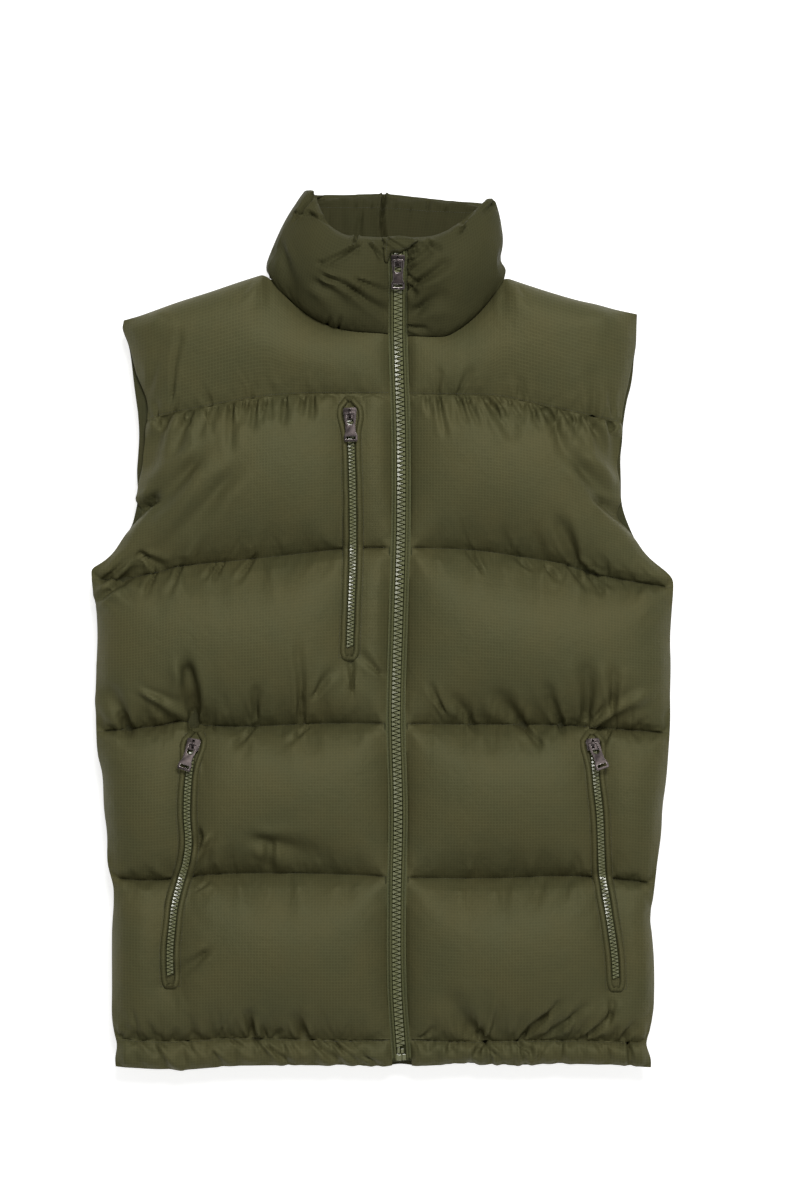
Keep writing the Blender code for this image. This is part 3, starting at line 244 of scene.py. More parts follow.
def puckers(line, side, end, seed, deep, way, long=(7, 26), calm=None, leans=(-0.5, 0.5)):
    """Small creases out from a seam on one side of the zip, uneven in length, depth, lean and spacing, and
    weaker near the calm place."""
    chance = np.random.default_rng(seed)
    start, end = sorted((side * 22, side * end))
    strokes = []
    x = start + chance.uniform(0, 8)
    while x < end:
        reach, lean = chance.uniform(*long), chance.uniform(*leans)
        y, depth = float(line(x * MM)) / MM, chance.uniform(0.3, 1.2) * deep
        if calm is not None:
            depth *= min(max(abs(x - calm) / 90, 0.3), 1)
        strokes.append((x, y + way, x + lean * reach, y + way * reach, chance.uniform(1.4, 2.6), depth))
        x += chance.uniform(4, 19)
    return strokes


ENLARGED, MOMENTS = 10, 20  # the solver's scale and its frames
FURTHEST = 9  # how far the solver may move the cloth, in millimetres


def let_go(points, held, spare, seed, turn=1, extra=0.1, press=4.0, start=1.0):
    """The cloth of a pad let go over its filling: pressed out from within, held where it is sewn, and with
    extra cloth where spare is 1. It starts from faint gathers and runs enlarged, which suits the solver."""
    chance = np.random.default_rng(seed)
    facing = outward(points) * turn
    gathers = np.zeros(held.shape)
    run, drop = (np.cumsum(np.linalg.norm(np.gradient(points, axis=k), axis=-1), axis=k) / MM for k in (1, 0))
    for row in np.nonzero(held[:, 2:-2].all(1))[0]:
        for way in (-1, 1):
            at = chance.uniform(0, 12)
            while at < run[row].max():
                at += chance.uniform(6, 26)
                deep, lean, long = chance.uniform(0.3, 1), chance.uniform(-0.6, 0.6), chance.uniform(8, 28)
                away = (drop - drop[row]) * way
                mark = np.exp(-((run - at - lean * away) / 3.2) ** 2)
                gathers += deep * mark * np.exp(-((away - long * 0.4) / (long * 0.6)) ** 2) * (away > 0)
    points = points - facing * (gathers * spare * ~held * start)[..., None] * MM
    mesh = bpy.data.meshes.new("cloth")
    index = numbered(points)
    quads = np.stack([index[:-1, :-1], index[:-1, 1:], index[1:, 1:], index[1:, :-1]], -1).reshape(-1, 4)
    quads = (quads if turn == 1 else quads[:, ::-1]).tolist()
    mesh.from_pydata((points * ENLARGED).reshape(-1, 3), [], quads)
    cloth = placed("cloth", mesh)
    for name, share in (("held", held.astype(float)), ("tight", 1 - spare)):
        group, share = cloth.vertex_groups.new(name=name), np.round(share.reshape(-1), 2)
        for value in np.unique(share[share > 0]):
            group.add(np.nonzero(share == value)[0].tolist(), float(value), "REPLACE")
    solver = cloth.modifiers.new("cloth", "CLOTH")
    laws = solver.settings
    laws.quality, laws.mass, laws.air_damping = 6, 0.3, 1
    laws.tension_stiffness = laws.compression_stiffness = laws.tension_damping = laws.compression_damping = 15
    laws.shear_stiffness, laws.shear_damping, laws.bending_stiffness, laws.bending_damping = 5, 15, 2, 0.5
    laws.use_pressure, laws.uniform_pressure_force, laws.effector_weights.gravity = True, press, 0
    laws.vertex_group_mass, laws.vertex_group_shrink = "held", "tight"
    laws.shrink_min, laws.shrink_max = -extra, 0
    solver.collision_settings.use_collision = solver.collision_settings.use_self_collision = False
    solver.point_cache.frame_start, solver.point_cache.frame_end = 1, MOMENTS
    for moment in range(1, MOMENTS + 1):
        bpy.context.scene.frame_set(moment)
    settled = np.empty(points.size)
    cloth.evaluated_get(bpy.context.evaluated_depsgraph_get()).data.vertices.foreach_get("co", settled)
    bpy.data.objects.remove(cloth)
    bpy.context.scene.frame_set(1)
    moved = settled.reshape(points.shape) / ENLARGED - points
    far = np.maximum(np.linalg.norm(moved, axis=-1, keepdims=True) / (FURTHEST * MM), 1)
    return points + moved / far


def finer(points, sharp=()):
    """The grid with one more row and column between each two, rounded. Sharp rows keep their line."""
    for axis in (0, 1):
        old = np.moveaxis(points, axis, 0)
        new = np.empty((2 * len(old) - 1, *old.shape[1:]))
        new[0::2], new[1::2] = old, (old[:-1] + old[1:]) / 2
        new[2:-2:2] = (old[:-2] + 6 * old[1:-1] + old[2:]) / 8
        if axis == 0:
            for row in sharp:
                new[2 * row] = old[row]
        points = np.moveaxis(new, 0, axis)
    return points


class Wire:
    """A socket of a finish, so that sums on it are written as Python sums."""

    def __init__(self, socket):
        self.socket = socket

    def sum_of(self, operation, *others):
        node = self.socket.id_data.nodes.new("ShaderNodeMath")
        node.operation = operation
        for place, term in zip(node.inputs, (self, *others)):
            if isinstance(term, Wire):
                node.id_data.links.new(term.socket, place)
            else:
                place.default_value = term
        return Wire(node.outputs[0])

    __add__ = __radd__ = partialmethod(sum_of, "ADD")
    __mul__ = __rmul__ = partialmethod(sum_of, "MULTIPLY")
    __sub__ = partialmethod(sum_of, "SUBTRACT")
    __pow__ = partialmethod(sum_of, "POWER")

    def wave(self, period):
        """A sine along it, from -1 to 1."""
        return (self * (2 * math.pi / period)).sum_of("SINE")


class Finish:
    """A material in the making. The shader's own values are given by name, and patterns are fed to it."""

    def __init__(self, name, **values):
        self.material = bpy.data.materials.new(name)
        self.material.use_nodes = True
        self.tree = self.material.node_tree
        self.shader = self.tree.nodes["Principled BSDF"]
        for word, value in values.items():
            self.shader.inputs[word.replace("_", " ")].default_value = value

    def node(self, kind, settings, sockets, output=0):
        made = self.tree.nodes.new("ShaderNode" + kind)
        for word, value in settings.items():
            setattr(made, word, value)
        for word, value in sockets.items():
            if isinstance(value, Wire):
                self.tree.links.new(value.socket, made.inputs[word])
            else:
                made.inputs[word].default_value = value
        return Wire(made.outputs[output])

    def feed(self, **wires):
        for word, wire in wires.items():
            self.tree.links.new(wire.socket, self.shader.inputs[word.replace("_", " ")])
        return self.material

    def noise(self, scale, **values):
        """A cloudy pattern that keeps to the object."""
        place = self.node("TexCoord", {}, {}, 3)
        return self.node("TexNoise", {}, {"Vector": place, "Scale": scale, **values})

    def cloth_map(self):
        """How far across and how far along the flat cloth, in metres."""
        flat = self.node("UVMap", {"uv_map": "cloth"}, {})
        return [self.node("SeparateXYZ", {}, {0: flat}, k) for k in (0, 1)]

    def bump(self, strength, deep, height, **values):
        """A pattern's relief, as deep as said in millimetres."""
        sockets = {"Strength": strength, "Distance": deep * MM, "Height": height, **values}
        return self.node("Bump", {}, sockets)

    def blend(self, first, second, share):
        """Between two colours."""
        return self.node("Mix", {"data_type": "RGBA"}, {0: share, 6: (*first, 1), 7: (*second, 1)}, 2)


def nylon(name, warm, cool, rough, crumple=0.38, gloss=1.0):
    """Satin ripstop nylon: a fine weave with a thicker thread every few, tiny wrinkles, and an uneven dye."""
    made = Finish(name, Metallic=0.11 * gloss, Roughness=rough, Specular_IOR_Level=0.15 * gloss,
                  Specular_Tint=(1.0, 0.96, 0.7, 1))
    u, v = made.cloth_map()
    weave = u.wave(0.42 * MM) * v.wave(0.42 * MM)
    lines = [(axis.wave(2.8 * MM) * 0.5 + 0.5) ** 4 for axis in (u, v)]
    rib = lines[0].sum_of("MAXIMUM", lines[1])
    dye = made.noise(22.0, Detail=4.0, Roughness=0.6)
    wrinkle = made.noise(95.0, Detail=3.0, Roughness=0.55, Distortion=0.4)
    fine = made.noise(420.0, Detail=2.0)
    tone = made.blend(cool, warm, ((dye - 0.35) * 3.2).sum_of("SMOOTH_MIN", 1.0, 0.2))
    shade = 0.845 + 0.1 * fine + 0.2 * rib + 0.02 * weave
    colour = made.node("VectorMath", {"operation": "SCALE"}, {0: tone, 3: shade})
    bump = made.bump(crumple, 1.6, wrinkle, Normal=made.bump(0.5, 0.12, 0.3 * weave + rib))
    return made.feed(Base_Color=colour, Roughness=rough + 0.14 * (dye - 0.5) + 0.05 * rib, Normal=bump)


shell = nylon("olive ripstop nylon", (0.0905, 0.0835, 0.0353), (0.080, 0.078, 0.0343), 0.5)
# The lining is a darker copy of the shell nylon: painted shade for the back's inner side, which shows deep in
# the armholes and the neck.
painted_shade_lining = nylon("olive lining nylon", (0.050, 0.047, 0.020), (0.043, 0.044, 0.019), 0.55)


def new_piece(name, points, faces, finishes, uv=None, smooth_below=50):
    """A mesh object from points and faces. Faces may carry a second finish's number."""
    mesh = bpy.data.meshes.new(name)
    mesh.from_pydata(np.asarray(points).tolist(), [], [list(face) for face in faces])
    for finish in finishes:
        mesh.materials.append(finish)
    if uv is not None:
        corners = np.empty(len(mesh.loops), int)
        mesh.loops.foreach_get("vertex_index", corners)
        layer = mesh.uv_layers.new(name="cloth")
        layer.uv.foreach_set("vector", np.asarray(uv, float)[corners].astype(np.float32).ravel())
    mesh.polygons.foreach_set("use_smooth", np.ones(len(mesh.polygons), bool))
    if smooth_below:
        mesh.set_sharp_from_angle(angle=math.radians(smooth_below))
    mesh.update()
    return placed(name, mesh)


def grid_faces(index):
    return np.stack([index[:-1, :-1], index[1:, :-1], index[1:, 1:], index[:-1, 1:]], -1).reshape(-1, 4)


def cloth_lengths(points):
    """Where each point lies on the flat cloth: its place across, and the columns' mean length down to it."""
    down = np.linalg.norm(np.diff(points, axis=0), axis=-1).mean(1)
    flat = np.empty((*points.shape[:2], 2))
    flat[..., 0], flat[..., 1] = points[..., 0], np.append(0, np.cumsum(down))[:, None]
    return flat


def sewn_pad(name, outer, inside, finishes, out=1):
    """A closed pad: its outer cloth is a grid, and its rim goes down to a flat inner side in the last one of
    its finishes."""
    index = numbered(outer)
    rim = rim_of(index)
    flat, points = cloth_lengths(outer).reshape(-1, 2), outer.reshape(-1, 3)
    low = points[rim].copy()
    low[:, 2] = inside
    below = np.arange(len(rim)) + len(points)
    walls = np.stack([rim, np.roll(rim, -1), np.roll(below, -1), below], -1)
    faces = grid_faces(index).tolist() + walls.tolist() + [below[::-1].tolist()]
    across = (outer[0, -1, 0] - outer[0, 0, 0]) * out
    if across < 0:
        faces = [face[::-1] for face in faces]
    made = new_piece(name, np.concatenate([points, low]), faces, finishes,
                     np.concatenate([flat, flat[rim] + 0.004]))
    made.data.polygons[len(faces) - 1].material_index = len(finishes) - 1
    made.data.polygons[len(faces) - 1].use_smooth = False
    return made


def beside_pockets(x, y, wide):
    """True within that many metres of a pocket's zip, where its frame is stitched through the front."""
    near = np.zeros(x.shape, bool)
    for name, (_, top, bottom, slider) in POCKETS.items():
        reach = wide + SLIDER_ROOM * MM * np.exp(-((y - slider * MM) / (ROOM_LENGTH * MM)) ** 2)
        away = np.hypot(x - pocket_x[name](y), np.maximum(np.maximum(y - top * MM, bottom * MM - y), 0))
        near |= away < reach
    return near


def eased(points, seams):
    """Where the cloth has length to spare: a table of rows, each sewn across, with how much is eased in above
    and below it, the share of that beside the zip, and how far it reaches in millimetres."""
    across = np.abs(points[..., 0] - points[:, :1, 0])
    across = across / across.max(1, keepdims=True)
    spare = np.zeros(points.shape[:2])
    for row, above, below, at_zip, reach in seams:
        away = points[row][None, :, 1] - points[..., 1]
        share = at_zip + (1 - at_zip) * np.clip(across * 1.3, 0, 1) ** 1.5
        share = np.where(away >= 0, below, above) * share
        spare = np.maximum(spare, share * np.exp(-(away / (reach * MM)) ** 2))
    return spare


CREASES = {
    -1: ((-196, 205, -214, 158, 7, 2.6), (-177, 207, -189, 173, 6, 2.4), (-159, 210, -167, 186, 4, 1.6),
         (-153, 211, -158, 188, 3, 1.3), (-140, 213, -140, 175, 4, 1.8), (-130, 213, -134, 191, 3, 1.4),
         (-124, 214, -127, 196, 3, 1.2), (-117, 215, -119, 192, 3, 1.5), (-108, 216, -112, 198, 3, 1.2),
         (-104, 216, -104, 199, 3, 1.1), (-90, 217, -91, 196, 3, 1.3), (-72, 218, -74, 203, 3, 1.1),
         (-64, 218, -64, 201, 3, 1.2), (-223, 115, -209, 121, 3, 1.8), (-220, 68, -206, 60, 4, 2.2),
         (-255, 36, -225, 60, 5, 2.4), (-251, 52, -227, 70, 5, 2.0), (-211, 52, -218, 36, 3, 1.6),
         (-188, 56, -196, 38, 3, 1.5), (-157, 60, -164, 50, 2.5, 1.4), (-148, 62, -155, 50, 2.5, 1.4),
         (-121, 65, -132, 49, 3, 1.6), (-176, -80, -176, -40, 6, 3.2), (-214, -61, -183, -78, 5, -2.0),
         (-117, -76, -117, -57, 4, 1.8), (-77, -76, -77, -26, 4, 1.8), (-73, -82, -73, -67, 3, 1.5),
         (-60, -57, -48, -40, 4, 1.6), (-28, -51, -30, -24, 3, 1.5), (-3, -38, -18, -24, 4, 1.6),
         (-121, -91, -134, -104, 3, 1.5), (-71, -91, -85, -102, 3, 1.4), (-164, -196, -179, -222, 5, -2.2),
         (-170, -188, -170, -200, 5, 1.6), (-104, -202, -104, -215, 6, 1.5),
         (-166, -300, -185, -314, 6, 2.2), (-170, -239, -161, -232, 2, 1.0),
         (-121, -373, -123, -357, 5, 2.6), (-112, -376, -119, -360, 3, -1.4),
         (-216, 121, -238, 100, 6, 3.2), (-179, 150, -214, 113, 11, 3.2), (-150, 132, -208, 76, 13, 2.6),
         (-238, -86, -250, -60, 7, 2.8), (-108, -196, -70, -206, 10, 2.4), (-180, -41, -172, -82, 9, 3.4),
         (-72, -375, -81, -360, 6, 2.2), (-100, -378, -94, -371, 3, 1.2)),
    1: ((42, 219, 44, 203, 3, 1.2), (52, 218, 57, 188, 3, 1.6), (69, 218, 77, 198, 3, 1.4),
        (79, 217, 87, 196, 3, 1.4), (96, 216, 117, 184, 5, 2.2), (108, 215, 122, 191, 4, 1.8),
        (117, 214, 128, 196, 3, 1.3), (136, 213, 145, 191, 3, 1.4), (147, 211, 167, 169, 6, 2.4),
        (167, 208, 185, 180, 5, 2.0), (175, 206, 188, 186, 3, 1.4), (184, 204, 199, 185, 3, 1.4),
        (191, 202, 209, 161, 6, 2.4), (210, 199, 219, 148, 6, 2.4), (179, 64, 166, 95, 6, 2.6),
        (90, 59, 80, 74, 3, 1.5), (135, 59, 126, 68, 3, 1.3), (154, 58, 162, 49, 3, 1.6),
        (175, 58, 189, 43, 4, 2.0), (189, 56, 202, 38, 4, 2.2), (199, 52, 210, 43, 3, 1.6),
        (55, -71, 46, -54, 3, 1.6), (82, -85, 68, -65, 5, 1.6), (128, -85, 109, -63, 7, 2.0),
        (165, -85, 154, -57, 5, 1.8), (189, -77, 189, -40, 7, 3.2), (214, -66, 214, -42, 5, 2.4),
        (198, -86, 236, -64, 5, -2.4), (134, -90, 145, -104, 3, 1.6), (210, -96, 203, -107, 2.5, 1.2),
        (94, -381, 67, -346, 9, 3.0), (94, -379, 103, -348, 3, -1.6), (127, -381, 148, -360, 3.5, 3.2),
        (148, -360, 162, -346, 3, 2.0), (154, -374, 174, -360, 4, 1.6), (174, -360, 188, -348, 4, 1.4),
        (190, -376, 211, -358, 3.5, 2.2), (211, -358, 213, -346, 3, 1.4), (223, -379, 232, -367, 4, 1.8),
        (38, -377, 46, -370, 3, 1.2), (187, 148, 218, 112, 11, 3.0), (205, 118, 236, 96, 7, 2.6)),
}
# At the yoke, chest, waist, hip and hem seams: ease above, below, share of it beside the zip, reach
FRONT_EASE = ((0, 1.0, 0.35, 13), (0.30, 0.5, 0.15, 12), (0.45, 0.35, 0.3, 15), (0.25, 0.22, 0.3, 12),
              (0.65, 0, 0.3, 17))
# The puckers' seams, which way they run and how deep they are
FRONT_PUCKERS = ((yoke_seam, -1, 1.4), (chest_seam, -1, 0.5), (chest_seam, 1, 0.7), (waist_seam, 1, 1.3),
                 (waist_seam, -1, 0.6), (hip_seam, 1, 0.6), (hip_seam, -1, 0.5), (hem_seam, 1, 1.3))
FRONT_ROWS, FRONT_COLUMNS = 44, 84
SEAM_DIP = 3.4  # how far the quilting pulls the cloth down
SLACK = 0.96  # the height at which the cloth starts, as a share of the solid's, before the solver swells it
POCKET_FRAME = 9.6  # from a pocket's zip to the edge of its stiff frame
TUCK = np.array([2.6, 1.4]) * MM  # how far the two columns beside the zip are tucked down
surfaces = {}  # the finished cloth of each pad, which stitches and lips lie on


def skin_of_grid(points):
    """A grid of points as a surface, for rays to fall on."""
    return BVHTree.FromPolygons(points.reshape(-1, 3).tolist(), grid_faces(numbered(points)).tolist())


def finished_pad(name, node, points, inside, out=1):
    """The pad that stands for a solid, made from its finished cloth."""
    surfaces[node] = skin_of_grid(points)
    # The flat inner side takes the darker lining, painted shade where it shows.
    pad = sewn_pad(name, points, inside, [shell, painted_shade_lining], out)
    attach(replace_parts(pad, node), "vest")


for side, word in SIDES.items():
    node = f"front_panel_{word}"
    seams = (yoke_seam, chest_seam, waist_seam, hip_seam, hem_seam)
    edges = (beside_zip(side), side_edge[side])
    points, held = laid_cloth(node, seams, FRONT_ROWS, edges, FRONT_COLUMNS, firm=(0, 1, -1))
    sewn_rows = list(range(0, len(points), FRONT_ROWS))
    held[sewn_rows] = True
    held |= beside_pockets(points[..., 0], points[..., 1], POCKET_FRAME * MM)
    z = points[..., 2]
    points[..., 2] = np.where(held, z, INSIDE + (z - INSIDE) * SLACK)
    points[sewn_rows[1:4], 2:-3, 2] -= SEAM_DIP * MM
    points[:, :2, 2] -= TUCK
    spare = eased(points, [(row, *ease) for row, ease in zip(sewn_rows, FRONT_EASE)])
    points = creased(points, weighed(CREASES[side], 1, 0.6), -side, 3)
    points = let_go(points, held, spare, 11 + side, -side, extra=0.1, press=3.0, start=1.3)
    strokes = weighed(CREASES[side], 0.82, 2.1)
    for number, (line, way, deep) in enumerate(FRONT_PUCKERS):
        strokes += puckers(line, side, 246, 60 + 10 * number + side, deep, way, calm=14)
    points = creased(finer(points, sewn_rows), strokes, -side, 5)
    finished_pad(f"front_{word}_quilted", node, points, INSIDE)


# ---- Yokes
# The yoke is one smooth padded piece of the same nylon, sewn to the gathered front below it and to the collar,
# and turned over the shoulder to the back. It has no quilting of its own.

SHOULDER_RIGHT = ((-243, 286), (-226, 290.5), (-192, 302.5), (-159, 313), (-137, 320.5), (-118, 326.5),
                  (-104, 330))
SHOULDER_LEFT = ((109, 327), (120, 323.5), (154, 312.5), (180, 305), (198, 301), (217, 296), (237, 292))
NECKLINE = ((-104, 324), (-97, 315), (-84, 302), (-66, 288), (-46, 279), (-27, 275), (0, 273), (21, 271),
            (52, 270), (62, 272), (80, 284), (94, 298), (105, 313), (109, 323))
NECK_X = {-1: (-104 + CENTRE[0]) * MM, 1: (109 + CENTRE[0]) * MM}
YOKE_CREASES = {
    -1: ((-209, 199, -210, 210, 2.5, 1.2), (-192, 201, -190, 213, 2, 1.0), (-194, 222, -188, 266, 3, 1.4),
         (-158, 205, -164, 216, 3, 1.0), (-214, 232, -206, 262, 5, 1.0), (-120, 214, -118, 226, 3, 0.8)),
    1: ((195, 199, 195, 233, 6, 1.8), (52, 222, 52, 238, 3, 1.2), (72, 222, 80, 238, 3, 1.2),
        (128, 214, 126, 230, 4, 0.9), (214, 202, 210, 222, 3, 1.0)),
}
BAND_TUCK = np.array([2.6, 1.2]) * MM
neckline = line_through(NECKLINE)
shoulder = {-1: line_through(SHOULDER_RIGHT), 1: line_through(SHOULDER_LEFT)}


def past_neck(x, side, inner):
    """A line's height, which steps over to the shoulder seam's under the collar's end."""
    past = np.clip((side * x - side * NECK_X[side]) / (8 * MM), 0, 1)
    return inner * (1 - past) + shoulder[side](x) * past


def yoke_top(side):
    """The neckline, then the shoulder seam."""
    return lambda x: past_neck(x, side, neckline(x))


for side, word in SIDES.items():
    node = f"front_yoke_{word}"
    lines, edges = (yoke_top(side), yoke_seam), (beside_zip(side), side_edge[side])
    points, held = laid_cloth(node, lines, 46, edges, 84, firm=(0, 1, -1))
    x, y = points[..., 0], points[..., 1]
    fall, past = (yoke_top(side)(x) - y) / (10 * MM), np.clip(side * (x - NECK_X[side]) / (14 * MM), 0, 1)
    from_side = np.clip((abs(side_edge[side](y) - x)) / (30 * MM), 0, 1)
    points[..., 2] += 9 * MM * past * fall * np.exp(1 - fall) * from_side
    points[:, :2, 2] -= BAND_TUCK
    spare = eased(points, [(len(x) - 1, 0.3, 0, 0.4, 8)])
    points = let_go(points, held, spare, 21 + side, -side, extra=0.06, press=1.5, start=0.5)
    small = puckers(yoke_seam, side, 210, 65 + side, 0.55, 1, calm=14)
    points = creased(finer(points, [0, len(x) - 1]), weighed(YOKE_CREASES[side], 0.9, 1.9) + small, -side)
    finished_pad(f"yoke_{word}_padded", node, points, INSIDE)


# ---- Hem bands
# A narrow turned-up band closes the vest's lower edge. Its cloth is pulled askew as it is topstitched, so it
# ripples on a slant, and the filling is thin.

HEM_EDGE = ((-249, -407), (-237, -408), (-207, -409.5), (-177, -409.5), (-147, -407), (-118, -406),
            (-43, -406), (-14, -406.5), (1, -407), (16, -405), (31, -406.5), (61, -405), (76, -404),
            (91, -405), (135, -406), (150, -404.5), (195, -405), (225, -406), (249, -408))
HEM_CREASES = {
    -1: ((-204, -388, -188, -406, 4, -1.6), (-156, -393, -149, -402, 3, 1.2),
         (-136, -382, -121, -393, 3, 1.3), (-117, -381, -107, -394, 3, 1.5),
         (-104, -387, -89, -400, 2.6, 2.0), (-84, -386, -77, -399, 3, 1.2), (-59, -385, -41, -401, 4, 1.8),
         (-41, -385, -24, -400, 2.6, 1.8), (-14, -397, -5, -403, 2.6, 1.5),
         (-179, -385, -170, -399, 4, 1.2)),
    1: ((92, -385, 83, -401, 3.5, 2.0), (96, -383, 101, -399, 3, 2.0), (104, -392, 112, -401, 3, 2.0),
        (127, -383, 136, -389, 2.6, 2.2), (130, -392, 133, -403, 3, 2.2), (145, -396, 150, -386, 2.6, 1.2),
        (166, -385, 165, -401, 4, 1.6), (63, -388, 65, -399, 5, 1.2), (228, -383, 230, -401, 2.4, 2.4),
        (202, -386, 208, -398, 4, 0.9)),
}
hem_edge = line_through(HEM_EDGE)
HEM_LEANS = {-1: (0.3, 1.3), 1: (-0.9, 0.9)}
for side, word in SIDES.items():
    node = f"front_hem_{word}"
    edges = (beside_zip(side), side_edge[side])
    points, held = laid_cloth(node, (hem_seam, hem_edge), 14, edges, 110, firm=(0, 1, -1))
    points[:, :2, 2] -= BAND_TUCK
    spare = np.full(held.shape, 0.5)
    points = let_go(points, held, spare, 31 + side, -side, extra=0.05, press=2.6, start=0.35)
    small = puckers(hem_seam, side, 240, 75 + side, 0.8, -1, (8, 20), leans=HEM_LEANS[side])
    points = creased(finer(points, [0]), weighed(HEM_CREASES[side], 0.9, 1.8) + small, -side)
    points[..., 2] = np.maximum(points[..., 2], INSIDE + 1.5 * MM)
    finished_pad(f"hem_{word}_band", node, points, INSIDE)


# ---- Back
# The back is one padded panel, quilted along the same lines as the fronts, with its hem band sewn on below. It
# lies on the surface, so its channels are pressed flat there, and its lining, coloured darker as painted shade,
# faces up inside the vest.

BACK_ARMHOLE = {
    -1: ((292, -244), (287, -241.5), (279, -242.5), (264, -237), (251, -234.5), (225, -231.5),
         (212, -229.7), (199, -228), (180, -227), (160, -228), (147, -229), (134, -228.5)),
    1: ((296, 237), (292, 236.5), (279, 236), (264, 235.5), (251, 233.5), (238, 232.5), (225, 230.5),
        (212, 227), (190, 223.5), (173, 222.5), (160, 221), (134, 221.5)),
}
BACK_INSIDE = 27 * MM
BACK_ROWS, BACK_COLUMNS = 30, 124
back_edge = {side: line_through(BACK_ARMHOLE[side] + tuple(row for row in table if row[0] < 125), True)
             for side, table in ((-1, SIDE_RIGHT), (1, SIDE_LEFT))}


def back_line(seam):
    """A line of quilting on the back runs straight between the ends of the fronts' line."""
    low, high = float(seam(-0.3)), float(seam(0.3))
    return lambda x: low + (high - low) * (x + 0.27) / 0.54


def back_top(x):
    """Shoulder seams, and a shallow dip between them where the collar is sewn on."""
    middle, half = sum(NECK_X.values()) / 2, (NECK_X[1] - NECK_X[-1]) / 2
    dip = (0.324 + CENTRE[1] * MM) - 5 * MM * (1 - np.clip((x - middle) / half, -1, 1) ** 2)
    return past_neck(x, 1, past_neck(x, -1, dip))


back_lines = [back_top, *map(back_line, (yoke_seam, chest_seam, waist_seam, hip_seam)), hem_seam]
back_edges = (back_edge[-1], back_edge[1])
points, held = laid_cloth("back_panel", back_lines, BACK_ROWS, back_edges, BACK_COLUMNS, 1)
sewn_rows = list(range(BACK_ROWS, len(points), BACK_ROWS))
held[sewn_rows] = True
spare = eased(points, [(row, 0.5, 0.5, 1, 14) for row in sewn_rows])
points = finer(let_go(points, held, spare, 41, extra=0.08, press=3.0), sewn_rows)
points[..., 2] = np.clip(points[..., 2], 0, BACK_INSIDE - 1 * MM)
finished_pad("back_quilted", "back_panel", points, BACK_INSIDE, -1)

points, held = laid_cloth("back_hem", (hem_seam, hem_edge), 12, back_edges, BACK_COLUMNS, 1)
points[-1, :, 2] = np.maximum(points[-1, :, 2], np.median(points[-1, :, 2]))
spare = np.full(held.shape, 0.6)
points = finer(let_go(points, held, spare, 42, extra=0.07, press=3.0, start=0.7), [0])
points[..., 2] = np.clip(points[..., 2], 0, BACK_INSIDE - 1 * MM)
finished_pad("back_hem_band", "back_hem", points, BACK_INSIDE, -1)


# ---- Collar
# The stand-up collar is a long padded strip sewn round the neck, with a narrower rim stitched off along its
# free edge. It stands at the front, turns down over its own rim, and lies back flat on the shoulders behind.

# The free edge round the neck from the zip over the wearer's right shoulder: x, y, z, how far the wall bows
# out, how far the rim curls in, and the share of the filling
COLLAR_EDGE = (
    (4.8, 360, 63, 6.5, 2, 1), (-15, 360, 69, 10, 7, 1), (-36, 362, 70, 13, 8, 1), (-53, 374, 66, 13, 6, 1),
    (-63, 393, 58, 9, 3, 0.95), (-70, 409, 45, 5, 1, 0.85), (-74, 411, 30, 3, 0, 0.75),
    (-64, 412, 18, 2, 0, 0.75), (-40, 412, 13, 0, 0, 0.75), (2, 412, 12, 0, 0, 0.75),
    (46, 408, 12, 0, 0, 0.75), (89, 405, 14, 0, 0, 0.7), (105, 401, 26, 0, 0, 0.6),
    (106, 400, 40, 2, 0, 0.6), (100, 398, 52, 3, 2, 0.75), (87, 385, 62, 7, 5, 0.95),
    (70, 371, 68, 9, 8, 1), (48, 361, 69, 9, 8, 1), (23.2, 360, 63, 6.5, 2, 1),
)
# The stretches of the neck seam in stations, and how many rows of cloth run between two stations
RIGHT_CORNER, BACK_START, BACK_END, LEFT_CORNER, LAST, ROWS_BETWEEN = 12, 16, 31, 35, 46, 5
COLLAR_STITCH = 0.79  # how far up the wall the rim is stitched off
COLLAR_CREASES = (
    (-82, 387, -65, 385, 2, 1.2), (-65, 385, -50, 377, 2, 1.4), (-49, 324, -25, 312, 4, 1.8),
    (-25, 312, 1, 296, 4, 1.6), (-19, 321, 1, 313, 3, 1.4), (-56, 317, -35, 303, 7, 2.0),
    (-56, 338, -49, 338, 4, 1.2), (-92, 349, -84, 317, 6, 1.4), (-53, 279, -49, 287, 2, 1.0),
    (-41, 279, -39, 287, 2, 1.0), (-25, 353, -43, 343, 2.4, 1.8), (-24, 363, -24, 354, 2.4, 1.8),
    (21, 339, 39, 350, 2.6, 1.8), (25, 333, 42, 346, 2.4, 1.2), (32, 321, 56, 336, 4.5, 2.2),
    (24, 317, 30, 311, 3, 1.6), (35, 297, 54, 307, 7, 2.2), (23, 282, 38, 279, 2.5, 1.5),
    (75, 378, 82, 389, 3, 1.6), (75, 372, 70, 367, 2.4, 1.6), (44, 357, 52, 352, 2.6, 1.4),
    (105, 397, 95, 387, 3, 1.4), (-23.5, 359, -23.5, 349, 2.4, -1.1), (-77, 385, -64, 404, 2.5, 2.2),
    (20, 352, 37, 355, 1.6, 1.2), (20, 345, 38, 353, 2, 1.8), (22, 330, 30, 322, 2, 1.2),
    (-9.7, 354.5, -2, 345, 2, 1.8),
)
INNER_BACK_CREASES = (
    (2, 408, 2, 363, 1.8, 3.2), (-20, 386, -22, 367, 3, 1.4), (-25, 396, -27, 404, 2, 1),
    (-10, 395, -11, 404, 2, 1), (12, 394, 11, 402, 2, 1), (26, 393, 27, 401, 2, 1),
    (42, 392, 43, 400, 2, 1), (59, 392, 60, 400, 2, 1),
)


def rounded(away, reach):
    """From 0 at an edge to 1 at reach and past it, along a quarter circle."""
    return math.sqrt(1 - (1 - min(max(away / reach, 0), 1)) ** 2)


def crown(share):
    """0 at both seams and 1 between them."""
    return (1 - min(abs(2 * share - 1), 1) ** 2.2) ** 0.72


